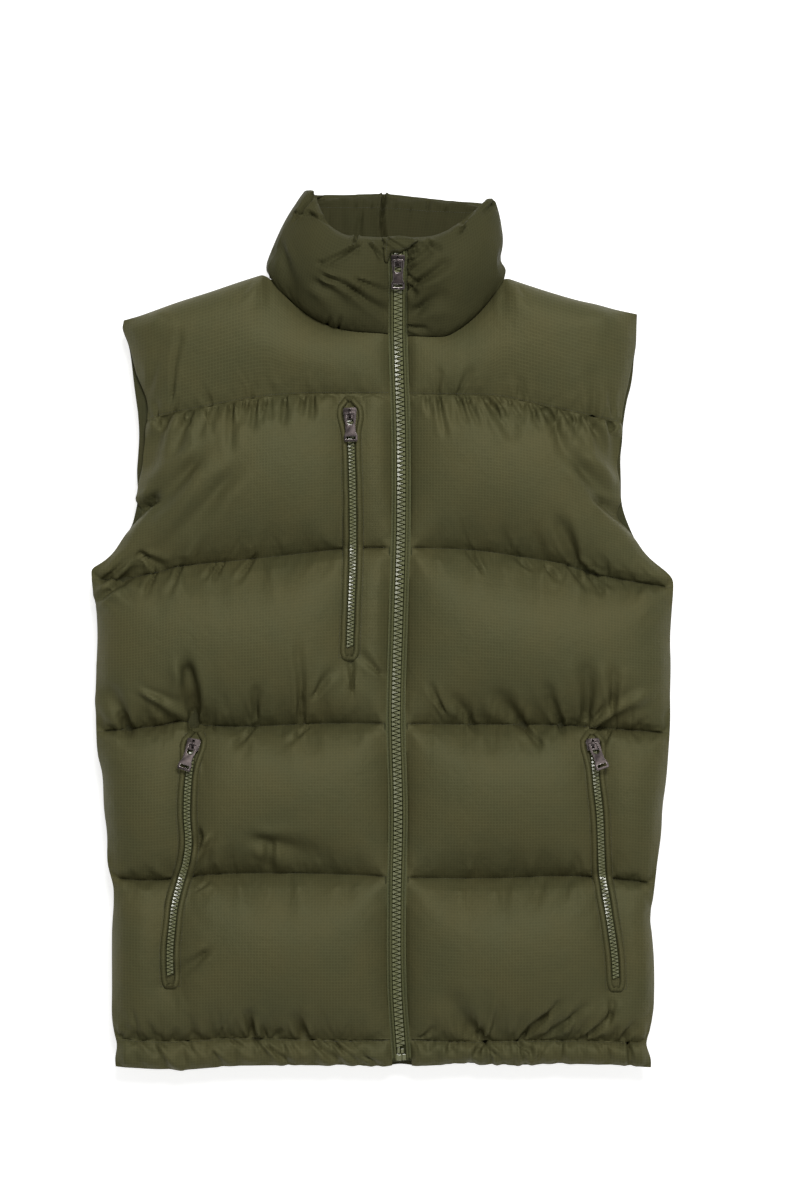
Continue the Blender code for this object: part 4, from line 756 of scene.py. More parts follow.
def collar_edge(share):
    """The free edge's row at a share of its way round, between the rows of its table."""
    last = len(COLLAR_EDGE) - 1
    place = min(max(share, 0), 1) * last
    i = min(int(place), last - 1)
    a, b, c, d = (np.array(COLLAR_EDGE[min(max(k, 0), last)], float) for k in (i - 1, i, i + 1, i + 2))
    t = place - i
    row = 0.5 * (2 * b + (c - a) * t + (2 * a - 5 * b + 4 * c - d) * t * t + (3 * b - a - 3 * c + d) * t ** 3)
    return Vector((row[0] + CENTRE[0], row[1] + CENTRE[1], row[2])) * MM, row[3] * MM, row[4] * MM, row[5]


yoke_skins = {side: skin_of(f"front_yoke_{word}") for side, word in SIDES.items()}
neck_start = {side: float(beside_zip(side)((272 + CENTRE[1]) * MM)) for side in SIDES}


def neck_station(t):
    """A place on the neck seam: its middle, the way the wall's outer side faces, and half its thickness."""
    if t <= RIGHT_CORNER or t >= LEFT_CORNER:
        side = -1 if t <= RIGHT_CORNER else 1
        share = t / RIGHT_CORNER if side == -1 else (LAST - t) / (LAST - LEFT_CORNER)
        x = neck_start[side] + (NECK_X[side] - neck_start[side]) * share
        y = float(neckline(x))
        hit = ray_down(yoke_skins[side], x + side * 1.2 * MM, y - 1.0 * MM)
        half = (hit.z - INSIDE) / 2 - 0.5 * MM
        return Vector((x, y + 0.6 * MM, hit.z - half - 0.5 * MM)), Vector((0, 0, 1)), half
    if BACK_START <= t <= BACK_END:
        x = NECK_X[-1] + (NECK_X[1] - NECK_X[-1]) * (t - BACK_START) / (BACK_END - BACK_START)
        middle = Vector((x, float(back_top(x)) + 0.6 * MM, BACK_INSIDE - 3.2 * MM))
        return middle, Vector((0, 0, -1)), 2.6 * MM
    first, last, side = (RIGHT_CORNER, BACK_START, -1) if t < BACK_START else (LEFT_CORNER, BACK_END, 1)
    start, end, share = neck_station(first), neck_station(last), (t - first) / (last - first)
    swing = math.sin(math.pi * share)
    face = Vector((side * swing, 0, math.cos(math.pi * share)))
    middle = start[0].lerp(end[0], share) + Vector((-side * 4 * MM * swing, MM * swing, 0))
    return middle, face.normalized(), start[2] + (end[2] - start[2]) * share


def collar_ring(t, outer, rim, inner):
    """The wall's outline at a place round the neck: up its outer cloth, over the rim and down its lining."""
    seam, face, half = neck_station(t)
    top, bow, curl, filling = collar_edge(t / LAST)
    low, high = max(t - 2, 0), min(t + 2, LAST)
    along = ((collar_edge(high / LAST)[0] - collar_edge(low / LAST)[0]).normalized()
             + (neck_station(high)[0] - neck_station(low)[0]).normalized())
    up = top - seam
    out = up.cross(along).normalized()
    if t in (0, LAST):
        out = Vector((0, -up.z, up.y)).normalized()
    full = (0.42 + 0.58 * rounded(min(t, LAST - t), 6)) * filling

    def place(s, puff):
        middle = seam + up * s + out * (4 * bow * s * (1 - s) - curl * max(0, (s - 0.7) / 0.3) ** 2)
        near = max(1 - s / 0.12, 0)
        return middle + (face * near + out * (1 - near)).normalized() * puff

    ring = [place(s, half + (2.5 * MM - half) * min(s / 0.3, 1) + 7.5 * MM * crown(s * 0.93) * full)
            for s in (*outer, *rim)]
    ring.append(place(1.01, 0))
    for s in inner:
        lower, upper = s / COLLAR_STITCH, (s - COLLAR_STITCH) / (1 - COLLAR_STITCH)
        band = crown(lower) if s < COLLAR_STITCH else crown(upper) * 0.4
        ring.append(place(s, -half if s == 0 else -2 * MM - 4 * MM * band * full))
    over_back = face.z > 0
    for point in ring:
        low = INSIDE if over_back and point.y < back_top(point.x) + 2 * MM else 0.3 * MM
        point.z = max(point.z, low)
    return ring


# Shares of the wall's height: up its outer cloth to the stitched line, up the rim, and down its lining
outer = (np.linspace(0, 1, 19) - 0.05 * np.sin(2 * np.pi * np.linspace(0, 1, 19))) * COLLAR_STITCH
rim = COLLAR_STITCH + (0.998 - COLLAR_STITCH) * np.array([0.15, 0.3, 0.45, 0.6, 0.75, 0.88, 0.97])
inner_rim = (0.985, 0.955, 0.91, 0.86, 0.82)
inner = [*inner_rim, *np.linspace(COLLAR_STITCH, 0, 13)]
top_column = len(outer) + len(rim)
stitched = top_column + 1 + len(inner_rim)
stations = range(LAST * ROWS_BETWEEN + 1)
points = np.array([collar_ring(number / ROWS_BETWEEN, outer, rim, inner) for number in stations])
held = np.zeros(points.shape[:2], bool)
held[[0, 1, -2, -1]] = held[:, [0, 1, -1, stitched]] = True
near = np.abs(np.arange(points.shape[1])[:, None] - np.array([0, stitched])[None]).min(1)
spare = np.tile(0.5 * np.exp(-(near / 3.0) ** 2), (len(points), 1))
spare[:, stitched - 4:stitched + 5] *= 1.6
points = finer(let_go(points, held, spare, 51, extra=0.08, press=2.0, start=0.8))
row_number, column_number = np.indices(points.shape[:2])
front_half = (row_number < 2 * ROWS_BETWEEN * RIGHT_CORNER) | (row_number > 2 * ROWS_BETWEEN * LEFT_CORNER)
outside = column_number <= 2 * top_column
pressed = creased(points, weighed(COLLAR_CREASES, 0.84, 2.8), firm=5)
points = np.where((front_half & outside)[..., None], pressed, points)
pressed = creased(points, weighed(INNER_BACK_CREASES, 1, 1.9))
points = np.where((~front_half & ~outside)[..., None], pressed, points)
points[..., 2] = np.maximum(points[..., 2], 0.3 * MM)
index = numbered(points)
faces = grid_faces(np.concatenate([index, index[:, :1]], 1))[:, ::-1].tolist()
faces += [index[0].tolist(), index[-1, ::-1].tolist()]
flat = np.empty((*points.shape[:2], 2))
flat[..., 0] = length_along(points[:, 40])[:, None]
flat[..., 1] = np.cumsum(np.append(0, np.linalg.norm(np.diff(points, axis=1), axis=-1).mean(0)))[None]
# A darker copy of the shell nylon: painted shade for the collar, whose steep front faces away from the light.
# The chin guard is made in it too.
painted_shade_collar_cloth = nylon("olive ripstop nylon of the collar", (0.058, 0.055, 0.024), (0.052, 0.051, 0.023), 0.56,
                     gloss=0.4)
# The collar's inside is darker again: painted shade for the hollow inside the collar.
shaded = nylon("olive nylon inside the collar", (0.044, 0.041, 0.018), (0.040, 0.039, 0.017), 0.6, gloss=0.4)
collar = new_piece("collar_padded", points.reshape(-1, 3), faces, [painted_shade_collar_cloth, shaded], flat.reshape(-1, 2))
# Faces on the lining side of the collar take the inside's painted shade.
painted_shade_faces = (column_number[1:] > 2 * (top_column + 2)).ravel()
collar.data.polygons.foreach_set("material_index", np.append(painted_shade_faces, [0, 0]).astype(np.int32))
surfaces["collar"] = skin_of_grid(points)
# Every row of stitches, as points in the cloth. The first runs round the inside of the collar.
behind_neck = slice(2 * ROWS_BETWEEN * BACK_START + 6, 2 * ROWS_BETWEEN * BACK_END - 6)
thread_runs = [points[behind_neck, 2 * stitched] + UP * 0.15 * MM]
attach(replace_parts(collar, "collar"), "vest")


# ---- Main zip
# A size eight moulded zip closes the front. Its tapes are sewn under the two front edges, each behind a narrow
# folded strip of the shell cloth and with both its ends turned in, and its teeth are moulded on the tapes.

woven = Finish("woven zip tape", Roughness=0.75, Specular_IOR_Level=0.2, Specular_Tint=(1.0, 0.96, 0.7, 1))
across_tape, along_tape = woven.cloth_map()
ribs = (across_tape + along_tape).wave(0.5 * MM) * 0.5 + 0.5
cords = along_tape.wave(0.8 * MM) * 0.5 + 0.5
tape_colour = woven.blend((0.024, 0.026, 0.011), (0.055, 0.058, 0.024), ribs * 0.5 + 0.5 * woven.noise(60.0))
tape_cloth = woven.feed(Base_Color=tape_colour, Roughness=0.65 + 0.2 * ribs,
                        Normal=woven.bump(0.5, 0.08, ribs + 0.5 * cords))
# The facing's cloth is a lighter copy of the shell nylon: painted light on the top of its fold.
painted_light_facing_cloth = nylon("folded facing nylon", (0.104, 0.105, 0.047), (0.092, 0.097, 0.044), 0.5, 0.15)


def ribbon(name, spots, aside, profile, thick, finish, closed=False):
    """A strip of cloth along a path. Its cross-section's points are how far aside of the path and how far up
    each fold of it lies, in millimetres."""
    profile = np.array(profile) * MM
    points = np.stack([spots + aside * off + UP * up for off, up in profile], 1)
    index = numbered(points)
    if closed:
        index = np.concatenate([index, index[:1]])
    flat = np.stack(np.broadcast_arrays(length_along(profile)[None], length_along(spots)[:, None]), -1)
    faces = grid_faces(index).tolist()
    made = new_piece(name, points.reshape(-1, 3), faces, [finish], flat.reshape(-1, 2), 0)
    wall = made.modifiers.new("thickness", "SOLIDIFY")
    wall.thickness, wall.offset = thick, 0
    return made


def beside(spots):
    """Level arrows to the left of a path, one a point."""
    way = np.gradient(spots, axis=0)
    way[:, 2] = 0
    aside = np.stack([-way[:, 1], way[:, 0], np.zeros(len(way))], -1)
    return aside / np.linalg.norm(aside, axis=-1, keepdims=True)


def zip_line(top, bottom, count):
    """Points down the closed zip, on the tape."""
    y = np.linspace(top, bottom, count) * MM
    return np.stack([zip_x(y), y, zip_z(y)], -1)


FACING = ((9.3, 0.85), (8.3, 0.65), (7.3, 0.6), (6.8, 1.15), (6.5, 2.4), (6.05, 3.1), (5.35, 3.3),
          (4.75, 2.9), (4.45, 2.1), (4.5, 1.4), (4.9, 0.95), (5.8, 0.8), (6.7, 0.72))
TAPE = ((0.25, -0.25), (1.2, -0.3), (2.4, -0.35), (3.6, -0.35), (4.8, -0.3), (6.2, -0.2), (7.6, -0.15),
        (8.7, -0.1), (9.6, 0.25), (10.6, 0.7))
TAPE_ENDS, TEETH_ENDS, PITCH = (354.5, -399.0), (350.5, -386.5), 4.2
TURNED_IN = np.array([(0, 4.5, -14), (0, 4.2, -8), (0, 3.6, -4), (0, 2.2, -1.2)]) * MM
TURNED_UNDER = np.array([(0, -0.9, -0.5), (0, -1.3, -2.0), (0, -1.4, -4.3)]) * MM
WOBBLE_LENGTH = {-1: 37, 1: 31}  # the facing's edge isn't quite straight
STITCH_ROW = (7.9, 0.85)  # the thread beside the zip: aside of its middle and up, in millimetres
for side, word in SIDES.items():
    spots = zip_line(*TAPE_ENDS, 240)
    away = beside(spots) * side
    folded = np.concatenate([spots[:1] + TURNED_IN, spots, spots[-1:] + TURNED_UNDER])
    away_folded = np.concatenate([away[:len(TURNED_IN)], away, away[-len(TURNED_UNDER):]])
    tape = ribbon(f"zip_tape_{word}_woven", folded, away_folded, TAPE, 0.55 * MM, tape_cloth)
    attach(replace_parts(tape, f"zip_tape_{word}"), "vest")
    wobble = np.sin(spots[:, 1] / MM / WOBBLE_LENGTH[side] + side) * 0.16 * MM
    seam = spots + away * wobble[:, None]
    facing = ribbon(f"zip_facing_{word}", seam, away, FACING, 0.3 * MM, painted_light_facing_cloth)
    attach(facing, "vest")
    thread_runs.append((seam + away * STITCH_ROW[0] * MM + UP * STITCH_ROW[1] * MM)[2:-2])


# ---- Zip teeth
# Each tooth is a moulded plastic wedge, broad where it grips the tape, with a small dot on its narrow head. The
# heads of one side fill the gaps of the other. Below them the zip ends in a box and a pin.

moulded = Finish("moulded zip plastic", Roughness=0.28, Coat_Weight=0.5, Coat_Roughness=0.12)
flow = moulded.noise(700.0, Detail=2.0)
resin = moulded.feed(Base_Color=moulded.blend((0.118, 0.124, 0.050), (0.172, 0.178, 0.078), flow),
                     Roughness=0.24 + 0.12 * flow, Normal=moulded.bump(0.15, 0.05, flow))
# Half a tooth's outline in millimetres: away from the middle of the zip, and half its width
TOOTH = ((-4.0, 1.4), (-3.55, 1.8), (-2.9, 1.65), (-1.5, 1.23), (0.0, 0.78), (1.2, 0.45), (1.7, 0.3),
         (1.95, 0.12))
TOOTH_LEVELS = ((0, 0), (1.75, 0), (2.25, 0.18), (2.45, 0.5))  # heights, and how far it draws in there
TOOTH_TILT = 0.115  # its top leans along the zip by this slope
DOT_PLACE, DOT_RADIUS, DOT_BASE, DOT_TOP = 0.15, 0.42, 2.4, 2.72


def stacked(rings):
    """The points of level rings, one above another, and the faces that join and close them."""
    points, faces, count = np.concatenate(rings).tolist(), [], len(rings[0])
    for first in range(0, len(points) - count, count):
        for i in range(count):
            j = (i + 1) % count
            faces.append((first + i, first + j, first + count + j, first + count + i))
    return points, faces, tuple(range(len(points) - count, len(points)))


def tooth_object(scale):
    outline = np.array([*TOOTH, *((x, -y) for x, y in reversed(TOOTH))])
    middle = np.array([(TOOTH[0][0] + TOOTH[-1][0]) / 2, 0])
    reach = np.maximum(np.linalg.norm(outline - middle, axis=1), 0.1)[:, None]
    rings = [np.column_stack([middle + (outline - middle) * np.maximum(1 - draw / reach, 0.15),
                              np.full(len(outline), height)]) for height, draw in TOOTH_LEVELS]
    points, faces, top = stacked(rings)
    faces += [tuple(range(len(outline))), top[::-1]]
    turn = np.linspace(0, 2 * np.pi, 7)[:-1]
    dot = [np.column_stack([DOT_PLACE + share * DOT_RADIUS * np.cos(turn), share * DOT_RADIUS * np.sin(turn),
                            np.full(6, height)]) for share, height in ((1, DOT_BASE), (0.6, DOT_TOP))]
    dot_points, dot_faces, dot_top = stacked(dot)
    faces += [tuple(len(points) + i for i in face) for face in (*dot_faces, dot_top)]
    points = np.array(points + dot_points)
    points[:, 2] -= TOOTH_TILT * points[:, 1] * (points[:, 2] > 0)
    made = new_piece("tooth", points * MM * scale, faces, [resin], None, 40)
    build = bmesh.new()
    build.from_mesh(made.data)
    bmesh.ops.recalc_face_normals(build, faces=build.faces)
    build.to_mesh(made.data)
    build.free()
    return made


class Grower:
    """A tree of geometry nodes which sets one shape again and again along a path, level and turned its way.
    Its inputs are Path, Pitch, Material and the named ones."""

    def __init__(self, name, **inputs):
        self.tree = bpy.data.node_groups.new(name, "GeometryNodeTree")
        for word, kind in {"Path": "Object", "Pitch": "Float", "Material": "Material", **inputs}.items():
            self.tree.interface.new_socket(name=word, in_out="INPUT", socket_type="NodeSocket" + kind)
        self.tree.interface.new_socket(name="Geometry", in_out="OUTPUT", socket_type="NodeSocketGeometry")
        self.given = self.tree.nodes.new("NodeGroupInput").outputs

    def node(self, kind, settings, sockets, output=0):
        made = self.tree.nodes.new(kind)
        for word, value in settings.items():
            setattr(made, word, value)
        for word, value in sockets.items():
            if hasattr(value, "is_output"):
                self.tree.links.new(value, made.inputs[word])
            else:
                made.inputs[word].default_value = value
        return made.outputs[output] if made.outputs else None

    def shape_of(self, word):
        """The geometry of the object that an input names."""
        return self.node("GeometryNodeObjectInfo", {}, {"Object": self.given[word]}, 4)

    def repeat(self, shape, **sockets):
        """Sets the shape along the path in the named material, and closes the tree."""
        marks = self.node("GeometryNodeResampleCurve", {"mode": "LENGTH"},
                          {"Curve": self.shape_of("Path"), "Length": self.given["Pitch"]})
        along = self.node("FunctionNodeAlignRotationToVector", {"axis": "Y"},
                          {"Vector": self.node("GeometryNodeInputTangent", {}, {})})
        level = self.node("FunctionNodeAlignRotationToVector", {"axis": "Z", "pivot_axis": "Y"},
                          {"Rotation": along, "Vector": (0.0, 0.0, 1.0)})
        copies = self.node("GeometryNodeInstanceOnPoints", {},
                           {"Points": marks, "Instance": shape, "Rotation": level, **sockets})
        real = self.node("GeometryNodeRealizeInstances", {}, {0: copies})
        dressed = self.node("GeometryNodeSetMaterial", {},
                            {"Geometry": real, "Material": self.given["Material"]})
        self.node("NodeGroupOutput", {}, {0: dressed})

    def grow(self, name, runs, **values):
        """What the tree makes along open lines through runs of points, as a plain mesh object."""
        path = path_object("path", runs)
        made = placed(name, bpy.data.meshes.new(name))
        work = made.modifiers.new("grow", "NODES")
        work.node_group = self.tree
        for socket in self.tree.interface.items_tree:
            if socket.in_out == "INPUT":
                work[socket.identifier] = path if socket.name == "Path" else values[socket.name]
        grown = bpy.data.meshes.new_from_object(made.evaluated_get(bpy.context.evaluated_depsgraph_get()))
        made.modifiers.clear()
        made.data = grown
        bpy.data.objects.remove(path)
        return made


def path_object(name, runs):
    flow = bpy.data.curves.new(name, "CURVE")
    flow.dimensions = "3D"
    for run in runs:
        line = flow.splines.new("POLY")
        line.points.add(len(run) - 1)
        line.points.foreach_set("co", np.concatenate([run, np.ones((len(run), 1))], 1).ravel())
    return placed(name, flow)


teeth_grower = Grower("teeth along a tape", Tooth="Object")
teeth_grower.repeat(teeth_grower.shape_of("Tooth"))


def toothed(name, spots, pitch, scale, replaced):
    """Both sides' teeth along a closed zip: one row runs down it, the other up it half a tooth on."""
    steps = length_along(spots)
    halfway = np.clip(steps + pitch / 2, 0, steps[-1] - 1e-5)
    shifted = np.stack([np.interp(halfway, steps, spots[:, k]) for k in range(3)], -1)
    keep = steps < steps[-1] - pitch / 2
    tooth = tooth_object(scale)
    rows = [spots[keep], shifted[keep][::-1]]
    teeth = teeth_grower.grow(name, rows, Tooth=tooth, Pitch=pitch, Material=resin)
    bpy.data.objects.remove(tooth)
    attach(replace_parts(teeth, replaced), "vest")


middle_line = zip_line(*TEETH_ENDS, 400)
middle_line[:, 2] += (0.25 + 0.4 * np.sin(middle_line[:, 1] / MM / 16)) * MM
toothed("zip_teeth_moulded", middle_line, PITCH * MM, 1.0, "zip_chain")


# The box and pin's blocks, each by two corners in millimetres from the middle of the box's lower end
BOX_BLOCKS = (((-4.6, 0, 0), (0.6, 6.3, 3.1)), ((0.9, 0.4, 0), (4.6, 6.1, 2.6)),
              ((-3.7, 6.8, 0), (-1.2, 12.6, 2.7)), ((-0.2, 6.8, 0), (2.4, 11.2, 2.6)),
              ((-3.4, 1.5, 2.6), (-0.6, 4.8, 3.3)))
low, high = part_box("zip_box")
start = Vector(((low.x + high.x) / 2, low.y, low.z)) / MM
build = bmesh.new()
for near, far in BOX_BLOCKS:
    near, far = start + Vector(near), start + Vector(far)
    corners = bmesh.ops.create_cube(build, size=1)["verts"]
    for corner in corners:
        corner.co = near + (far - near) * (corner.co + Vector((0.5, 0.5, 0.5)))
    edges = list(dict.fromkeys(edge for corner in corners for edge in corner.link_edges))
    bmesh.ops.bevel(build, geom=edges, offset=0.45, segments=2, affect="EDGES", profile=0.6)
build.transform(Matrix.Scale(MM, 4))
box_mesh = bpy.data.meshes.new("zip_box_and_pin")
build.to_mesh(box_mesh)
build.free()
box_mesh.materials.append(resin)
zip_box = placed("zip_box_and_pin", box_mesh)
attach(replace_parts(zip_box, "zip_box"), "vest")


# ---- Chin guard
# A small padded flap of the shell cloth folds over the zip's upper end, so that the slider doesn't touch the
# chin. It is sewn in with the zip on the wearer's right and lies loose over the other side.

# The flap's edges from its sewn end to its tip: x and y in millimetres
GUARD_LOWER = ((0.9, 340.5), (2.2, 337.6), (4.4, 337.2), (5.6, 339.5), (6.4, 343.5), (7.6, 346.4),
               (10, 347.0), (14, 347.2), (20, 348.6), (26, 352.3), (32.4, 357.2))
GUARD_UPPER = ((0.4, 360.2), (4, 361.2), (9, 361.7), (15, 362), (21, 361.4), (27, 360.4), (32.6, 358.6))
GUARD_CREASES = ((3, 360, 16, 350, 2.2, 0.9), (9, 361, 24, 353, 1.8, 0.7), (2, 353, 10, 348, 1.6, 0.6))


def on_cloth(skins, x, y, reach=0.0):
    """How high the cloth lies at a place, or the highest within reach of it."""
    found = [ray_down(skin, x + reach * dx, y + reach * dy)
             for skin in skins for dx, dy in ((0, 0), (1, 0), (-1, 0), (0, 1), (0, -1))]
    return max((hit.z for hit in found if hit), default=INSIDE)


along, up = np.meshgrid(np.linspace(0, 1, 45), np.linspace(0, 1, 23))
x_lower, x_upper = ((edge[0][0] + CENTRE[0] + (edge[-1][0] - edge[0][0]) * along) * MM
                    for edge in (GUARD_LOWER, GUARD_UPPER))
x = x_lower * (1 - up) + x_upper * up
y = line_through(GUARD_LOWER)(x) * (1 - up) + line_through(GUARD_UPPER)(x) * up
guard_bed = [surfaces["collar"], *(surfaces[f"front_yoke_{word}"] for word in SIDES.values())]
under = np.array([[on_cloth(guard_bed, px, py, 0.8 * MM) for px, py in zip(*row)] for row in zip(x, y)])
under = np.maximum(under, zip_z(y) + np.where(abs(x - zip_x(y)) < 9 * MM, 3.5, 2.0) * MM) + 0.3 * MM
for _ in range(6):
    under[1:-1, 1:-1] = (under[:-2, 1:-1] + under[2:, 1:-1] + under[1:-1, :-2] + under[1:-1, 2:]) / 4
near_edge = np.minimum(np.minimum(up, 1 - up) * 12, np.minimum(along, 1 - along) * 32)
swell = 1.3 + 3.4 * np.sqrt(np.clip(1 - (1 - np.clip(near_edge / 5, 0, 1)) ** 2, 0, 1))
points = creased(np.stack([x, y, under + swell * MM], -1), weighed(GUARD_CREASES, 1, 2.2), -1)
surfaces["chin_guard"] = skin_of_grid(points[::-1])
cells, ring = grid_faces(numbered(points)), rim_of(numbered(points))
walls = np.stack([ring, ring + x.size, np.roll(ring + x.size, -1), np.roll(ring, -1)], -1)
faces = cells[:, ::-1].tolist() + walls.tolist() + (cells + x.size).tolist()
both = np.concatenate([points.reshape(-1, 3), np.stack([x, y, under], -1).reshape(-1, 3)])
# The guard takes the collar's darker cloth, and with it the same painted shade.
guard = new_piece("chin_guard_padded", both, faces, [painted_shade_collar_cloth], both[:, :2])
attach(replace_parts(guard, "chin_guard"), "vest")
inset = rim_of(points[3:-3, 4:-4])
thread_runs.append(np.concatenate([inset, inset[:1]]) + UP * 0.12 * MM)


# ---- Sliders and pull tabs
# All are die-cast zinc with a dark gunmetal plating, which is rubbed bright along the edges. Each tab hangs in
# its slider's bail by the bar across its window.


def gunmetal(name, dark, bright, rough):
    made = Finish(name, Metallic=1.0, Roughness=rough)
    blotch = made.noise(260.0, Detail=5.0, Roughness=0.65)
    drawn = made.node("Mapping", {}, {"Vector": made.node("TexCoord", {}, {}, 3), "Scale": (3.0, 0.4, 1)})
    scratch = made.noise(1400.0, Detail=2.0, Vector=drawn)
    colour = made.blend(dark, bright, ((blotch - 0.4) * 2.5).sum_of("SMOOTH_MIN", 1.0, 0.2))
    return made.feed(Base_Color=colour, Roughness=rough - 0.05 + 0.2 * blotch + 0.1 * scratch,
                     Normal=made.bump(0.12, 0.03, scratch + blotch))


plating = gunmetal("dark gunmetal plating", (0.038, 0.031, 0.030), (0.082, 0.067, 0.064), 0.32)
rubbed = gunmetal("plating rubbed bright", (0.42, 0.37, 0.36), (0.62, 0.57, 0.55), 0.22)


def cast_metal(node, body, edge):
    """The solid's own shape with its edges rounded off, and the rounded edges rubbed bright."""
    build = bmesh.new()
    build.from_mesh(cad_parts[node].data)
    bmesh.ops.remove_doubles(build, verts=build.verts, dist=0.02 * MM)
    bmesh.ops.dissolve_limit(build, angle_limit=math.radians(3), verts=build.verts, edges=build.edges)
    bmesh.ops.recalc_face_normals(build, faces=build.faces)
    joined = [one for one in build.edges if len(one.link_faces) == 2]
    sharp = [one for one in joined if one.calc_face_angle(0) > math.radians(28)]
    bmesh.ops.bevel(build, geom=sharp, offset=edge, segments=2, profile=0.5, affect="EDGES", material=1,
                    clamp_overlap=True)
    bmesh.ops.triangulate(build, faces=[face for face in build.faces if len(face.verts) > 4])
    mesh = bpy.data.meshes.new(node + "_cast")
    build.to_mesh(mesh)
    build.free()
    for finish in (plating, rubbed):
        mesh.materials.append(finish)
    mesh.polygons.foreach_set("use_smooth", np.ones(len(mesh.polygons), bool))
    mesh.set_sharp_from_angle(angle=math.radians(32))
    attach(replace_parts(placed(node + "_cast", mesh), node), body)


for zip_name in ("zip", "chest", "hand_right", "hand_left"):
    cast_metal(f"{zip_name}_slider", "vest", 0.16 * MM)
    cast_metal(f"{zip_name}_pull", f"{zip_name}_pull_tab", 0.3 * MM)


# ---- Pocket zips
# Each pocket is a slit bound with a folded lip of shell cloth all round, which opens in a point above the
# slider. A narrower moulded zip is sewn in behind it, and a row of stitches further out holds its frame.

# The lip's fold from the teeth outwards, in shares of its width and height
LIP = ((-0.52, 0.10), (-0.56, 0.45), (-0.42, 0.80), (-0.12, 1.0), (0.2, 0.92), (0.42, 0.60), (0.50, 0.22),
       (0.56, 0.02), (0.72, -0.06))
LIP_WIDTH, LIP_HEIGHT, OPENING = 4.2, 3.0, 4.3
POCKET_PITCH, POCKET_TOOTH = 3.3, 0.74  # the smaller zip's pitch, and its teeth's size beside the main zip's
FRAME_OFF = 9.8  # from a pocket's zip to the stitches of its frame
POCKET_TAPE = ((-3.7, 0.1), (-2.5, -0.05), (-1.2, 0), (0, 0), (1.2, 0), (2.5, -0.05), (3.7, 0.1))


def row_on(skins, x, y):
    """Points of a row of stitches, which lies on the cloth."""
    return np.array([(px, py, on_cloth(skins, px, py) + 0.12 * MM) for px, py in zip(x, y)])


def smoothed(values, times, closed=False):
    """The same values, each blurred with its neighbours. The ends stay unless the row is closed."""
    for _ in range(times):
        blurred = (np.roll(values, 1, 0) + 2 * values + np.roll(values, -1, 0)) / 4
        if not closed:
            blurred[[0, -1]] = values[[0, -1]]
        values = blurred
    return values


def loop_round(name, off, count=170):
    """A closed path round a pocket's zip. off gives the distance from the zip at a height, in metres."""
    _, top, bottom, _ = POCKETS[name]
    turn = np.linspace(0, math.pi, count)
    share = 0.5 - 0.5 * np.cos(turn) * (0.8 + 0.2 * np.cos(turn) ** 2)
    y = (top + (bottom - top) * share) * MM
    left, right = pocket_x[name](y) + off(y), pocket_x[name](y) - off(y)
    return np.concatenate([np.stack([left, y], -1), np.stack([right, y], -1)[::-1]])


for name, (_, top, bottom, slider_y) in POCKETS.items():
    side = "left" if name == "hand_left" else "right"
    front, skins = f"front_{side}_quilted", [surfaces[f"front_panel_{side}"]]

    def lip_off(y):
        off = (OPENING + LIP_WIDTH / 2) * MM
        off = off + SLIDER_ROOM * MM * np.exp(-((y / MM - slider_y - 1.5) / ROOM_LENGTH) ** 2)
        below = np.clip((y / MM - bottom + 0.5) / 10, 0, 1)
        return off * (0.40 + 0.60 * np.minimum((top - y / MM) / 8, 1) * np.sqrt(1 - (1 - below) ** 2))

    loop = loop_round(name, lip_off)
    lift = smoothed(np.array([on_cloth(skins, *spot, 0.8 * MM) for spot in loop]), 6, True)
    spots = np.column_stack([loop, lift + 0.1 * MM])
    away = -beside(np.concatenate([spots[-1:], spots, spots[:1]]))[1:-1]
    middle = pocket_x[name](spots[:, 1])
    away *= np.sign(((spots[:, 0] - middle) * away[:, 0]))[len(spots) // 4]
    wave = 0.15 * np.sin(spots[:, 1] / MM / 7 + 1.3 * np.sin(spots[:, 1] / MM / 19))
    profile = [(out * LIP_WIDTH, rise * LIP_HEIGHT) for out, rise in LIP]
    lip = ribbon(f"{name}_lip", spots + away * wave[:, None] * MM, away, profile, 0.3 * MM, shell, True)
    length = round(float(length_along(spots)[-1]), 3)
    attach(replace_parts(lip, f"{name}_welt"), "vest")

    y = np.linspace(top - 9, bottom + 11, 120) * MM
    x = pocket_x[name](y)
    bed = fallen(skin_of(f"{name}_chain"), x, y) - 2.6 * MM
    line = np.stack([x, y, smoothed(bed, 4)], -1)
    tape = ribbon(f"{name}_tape", line, beside(line), POCKET_TAPE, 0.4 * MM, tape_cloth)
    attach(tape, "vest")
    length = round(float(length_along(line)[-1]), 3)
    shares = np.linspace(0, 1, 400)
    dense = np.stack([np.interp(shares, np.linspace(0, 1, 120), line[:, k]) for k in range(3)], -1)
    toothed(f"{name}_teeth", dense + UP * 0.2 * MM, POCKET_PITCH * MM, POCKET_TOOTH, f"{name}_chain")

    def frame_off(y):
        return FRAME_OFF * MM * np.minimum(1, 0.55 + 0.45 * np.minimum((top - y / MM) / 3, 1))

    row = row_on(skins, *loop_round(name, frame_off).T)
    thread_runs.append(np.concatenate([row, row[:1]]))


# ---- Stitching
# Every seam is sewn with a heavier olive thread. Along the zip and the pockets the stitches lie on the cloth,
# and at the quilting they sink between the channels.

spun = Finish("olive sewing thread", Roughness=0.6, Sheen_Weight=0.2)
strands = spun.noise(900.0, Detail=2.0)
# The thread is darker than the cloth, partly its own colour and partly painted shade for the valleys it is sewn
# in.
thread = spun.feed(Base_Color=spun.blend((0.026, 0.025, 0.010), (0.060, 0.058, 0.024), strands),
                   Normal=spun.bump(0.4, 0.1, strands))
sewing = Grower("stitches along a seam", Stitch="Vector")
bead = sewing.node("GeometryNodeMeshIcoSphere", {}, {"Radius": 1.0, "Subdivisions": 1})
sewing.repeat(bead, Scale=sewing.given["Stitch"])


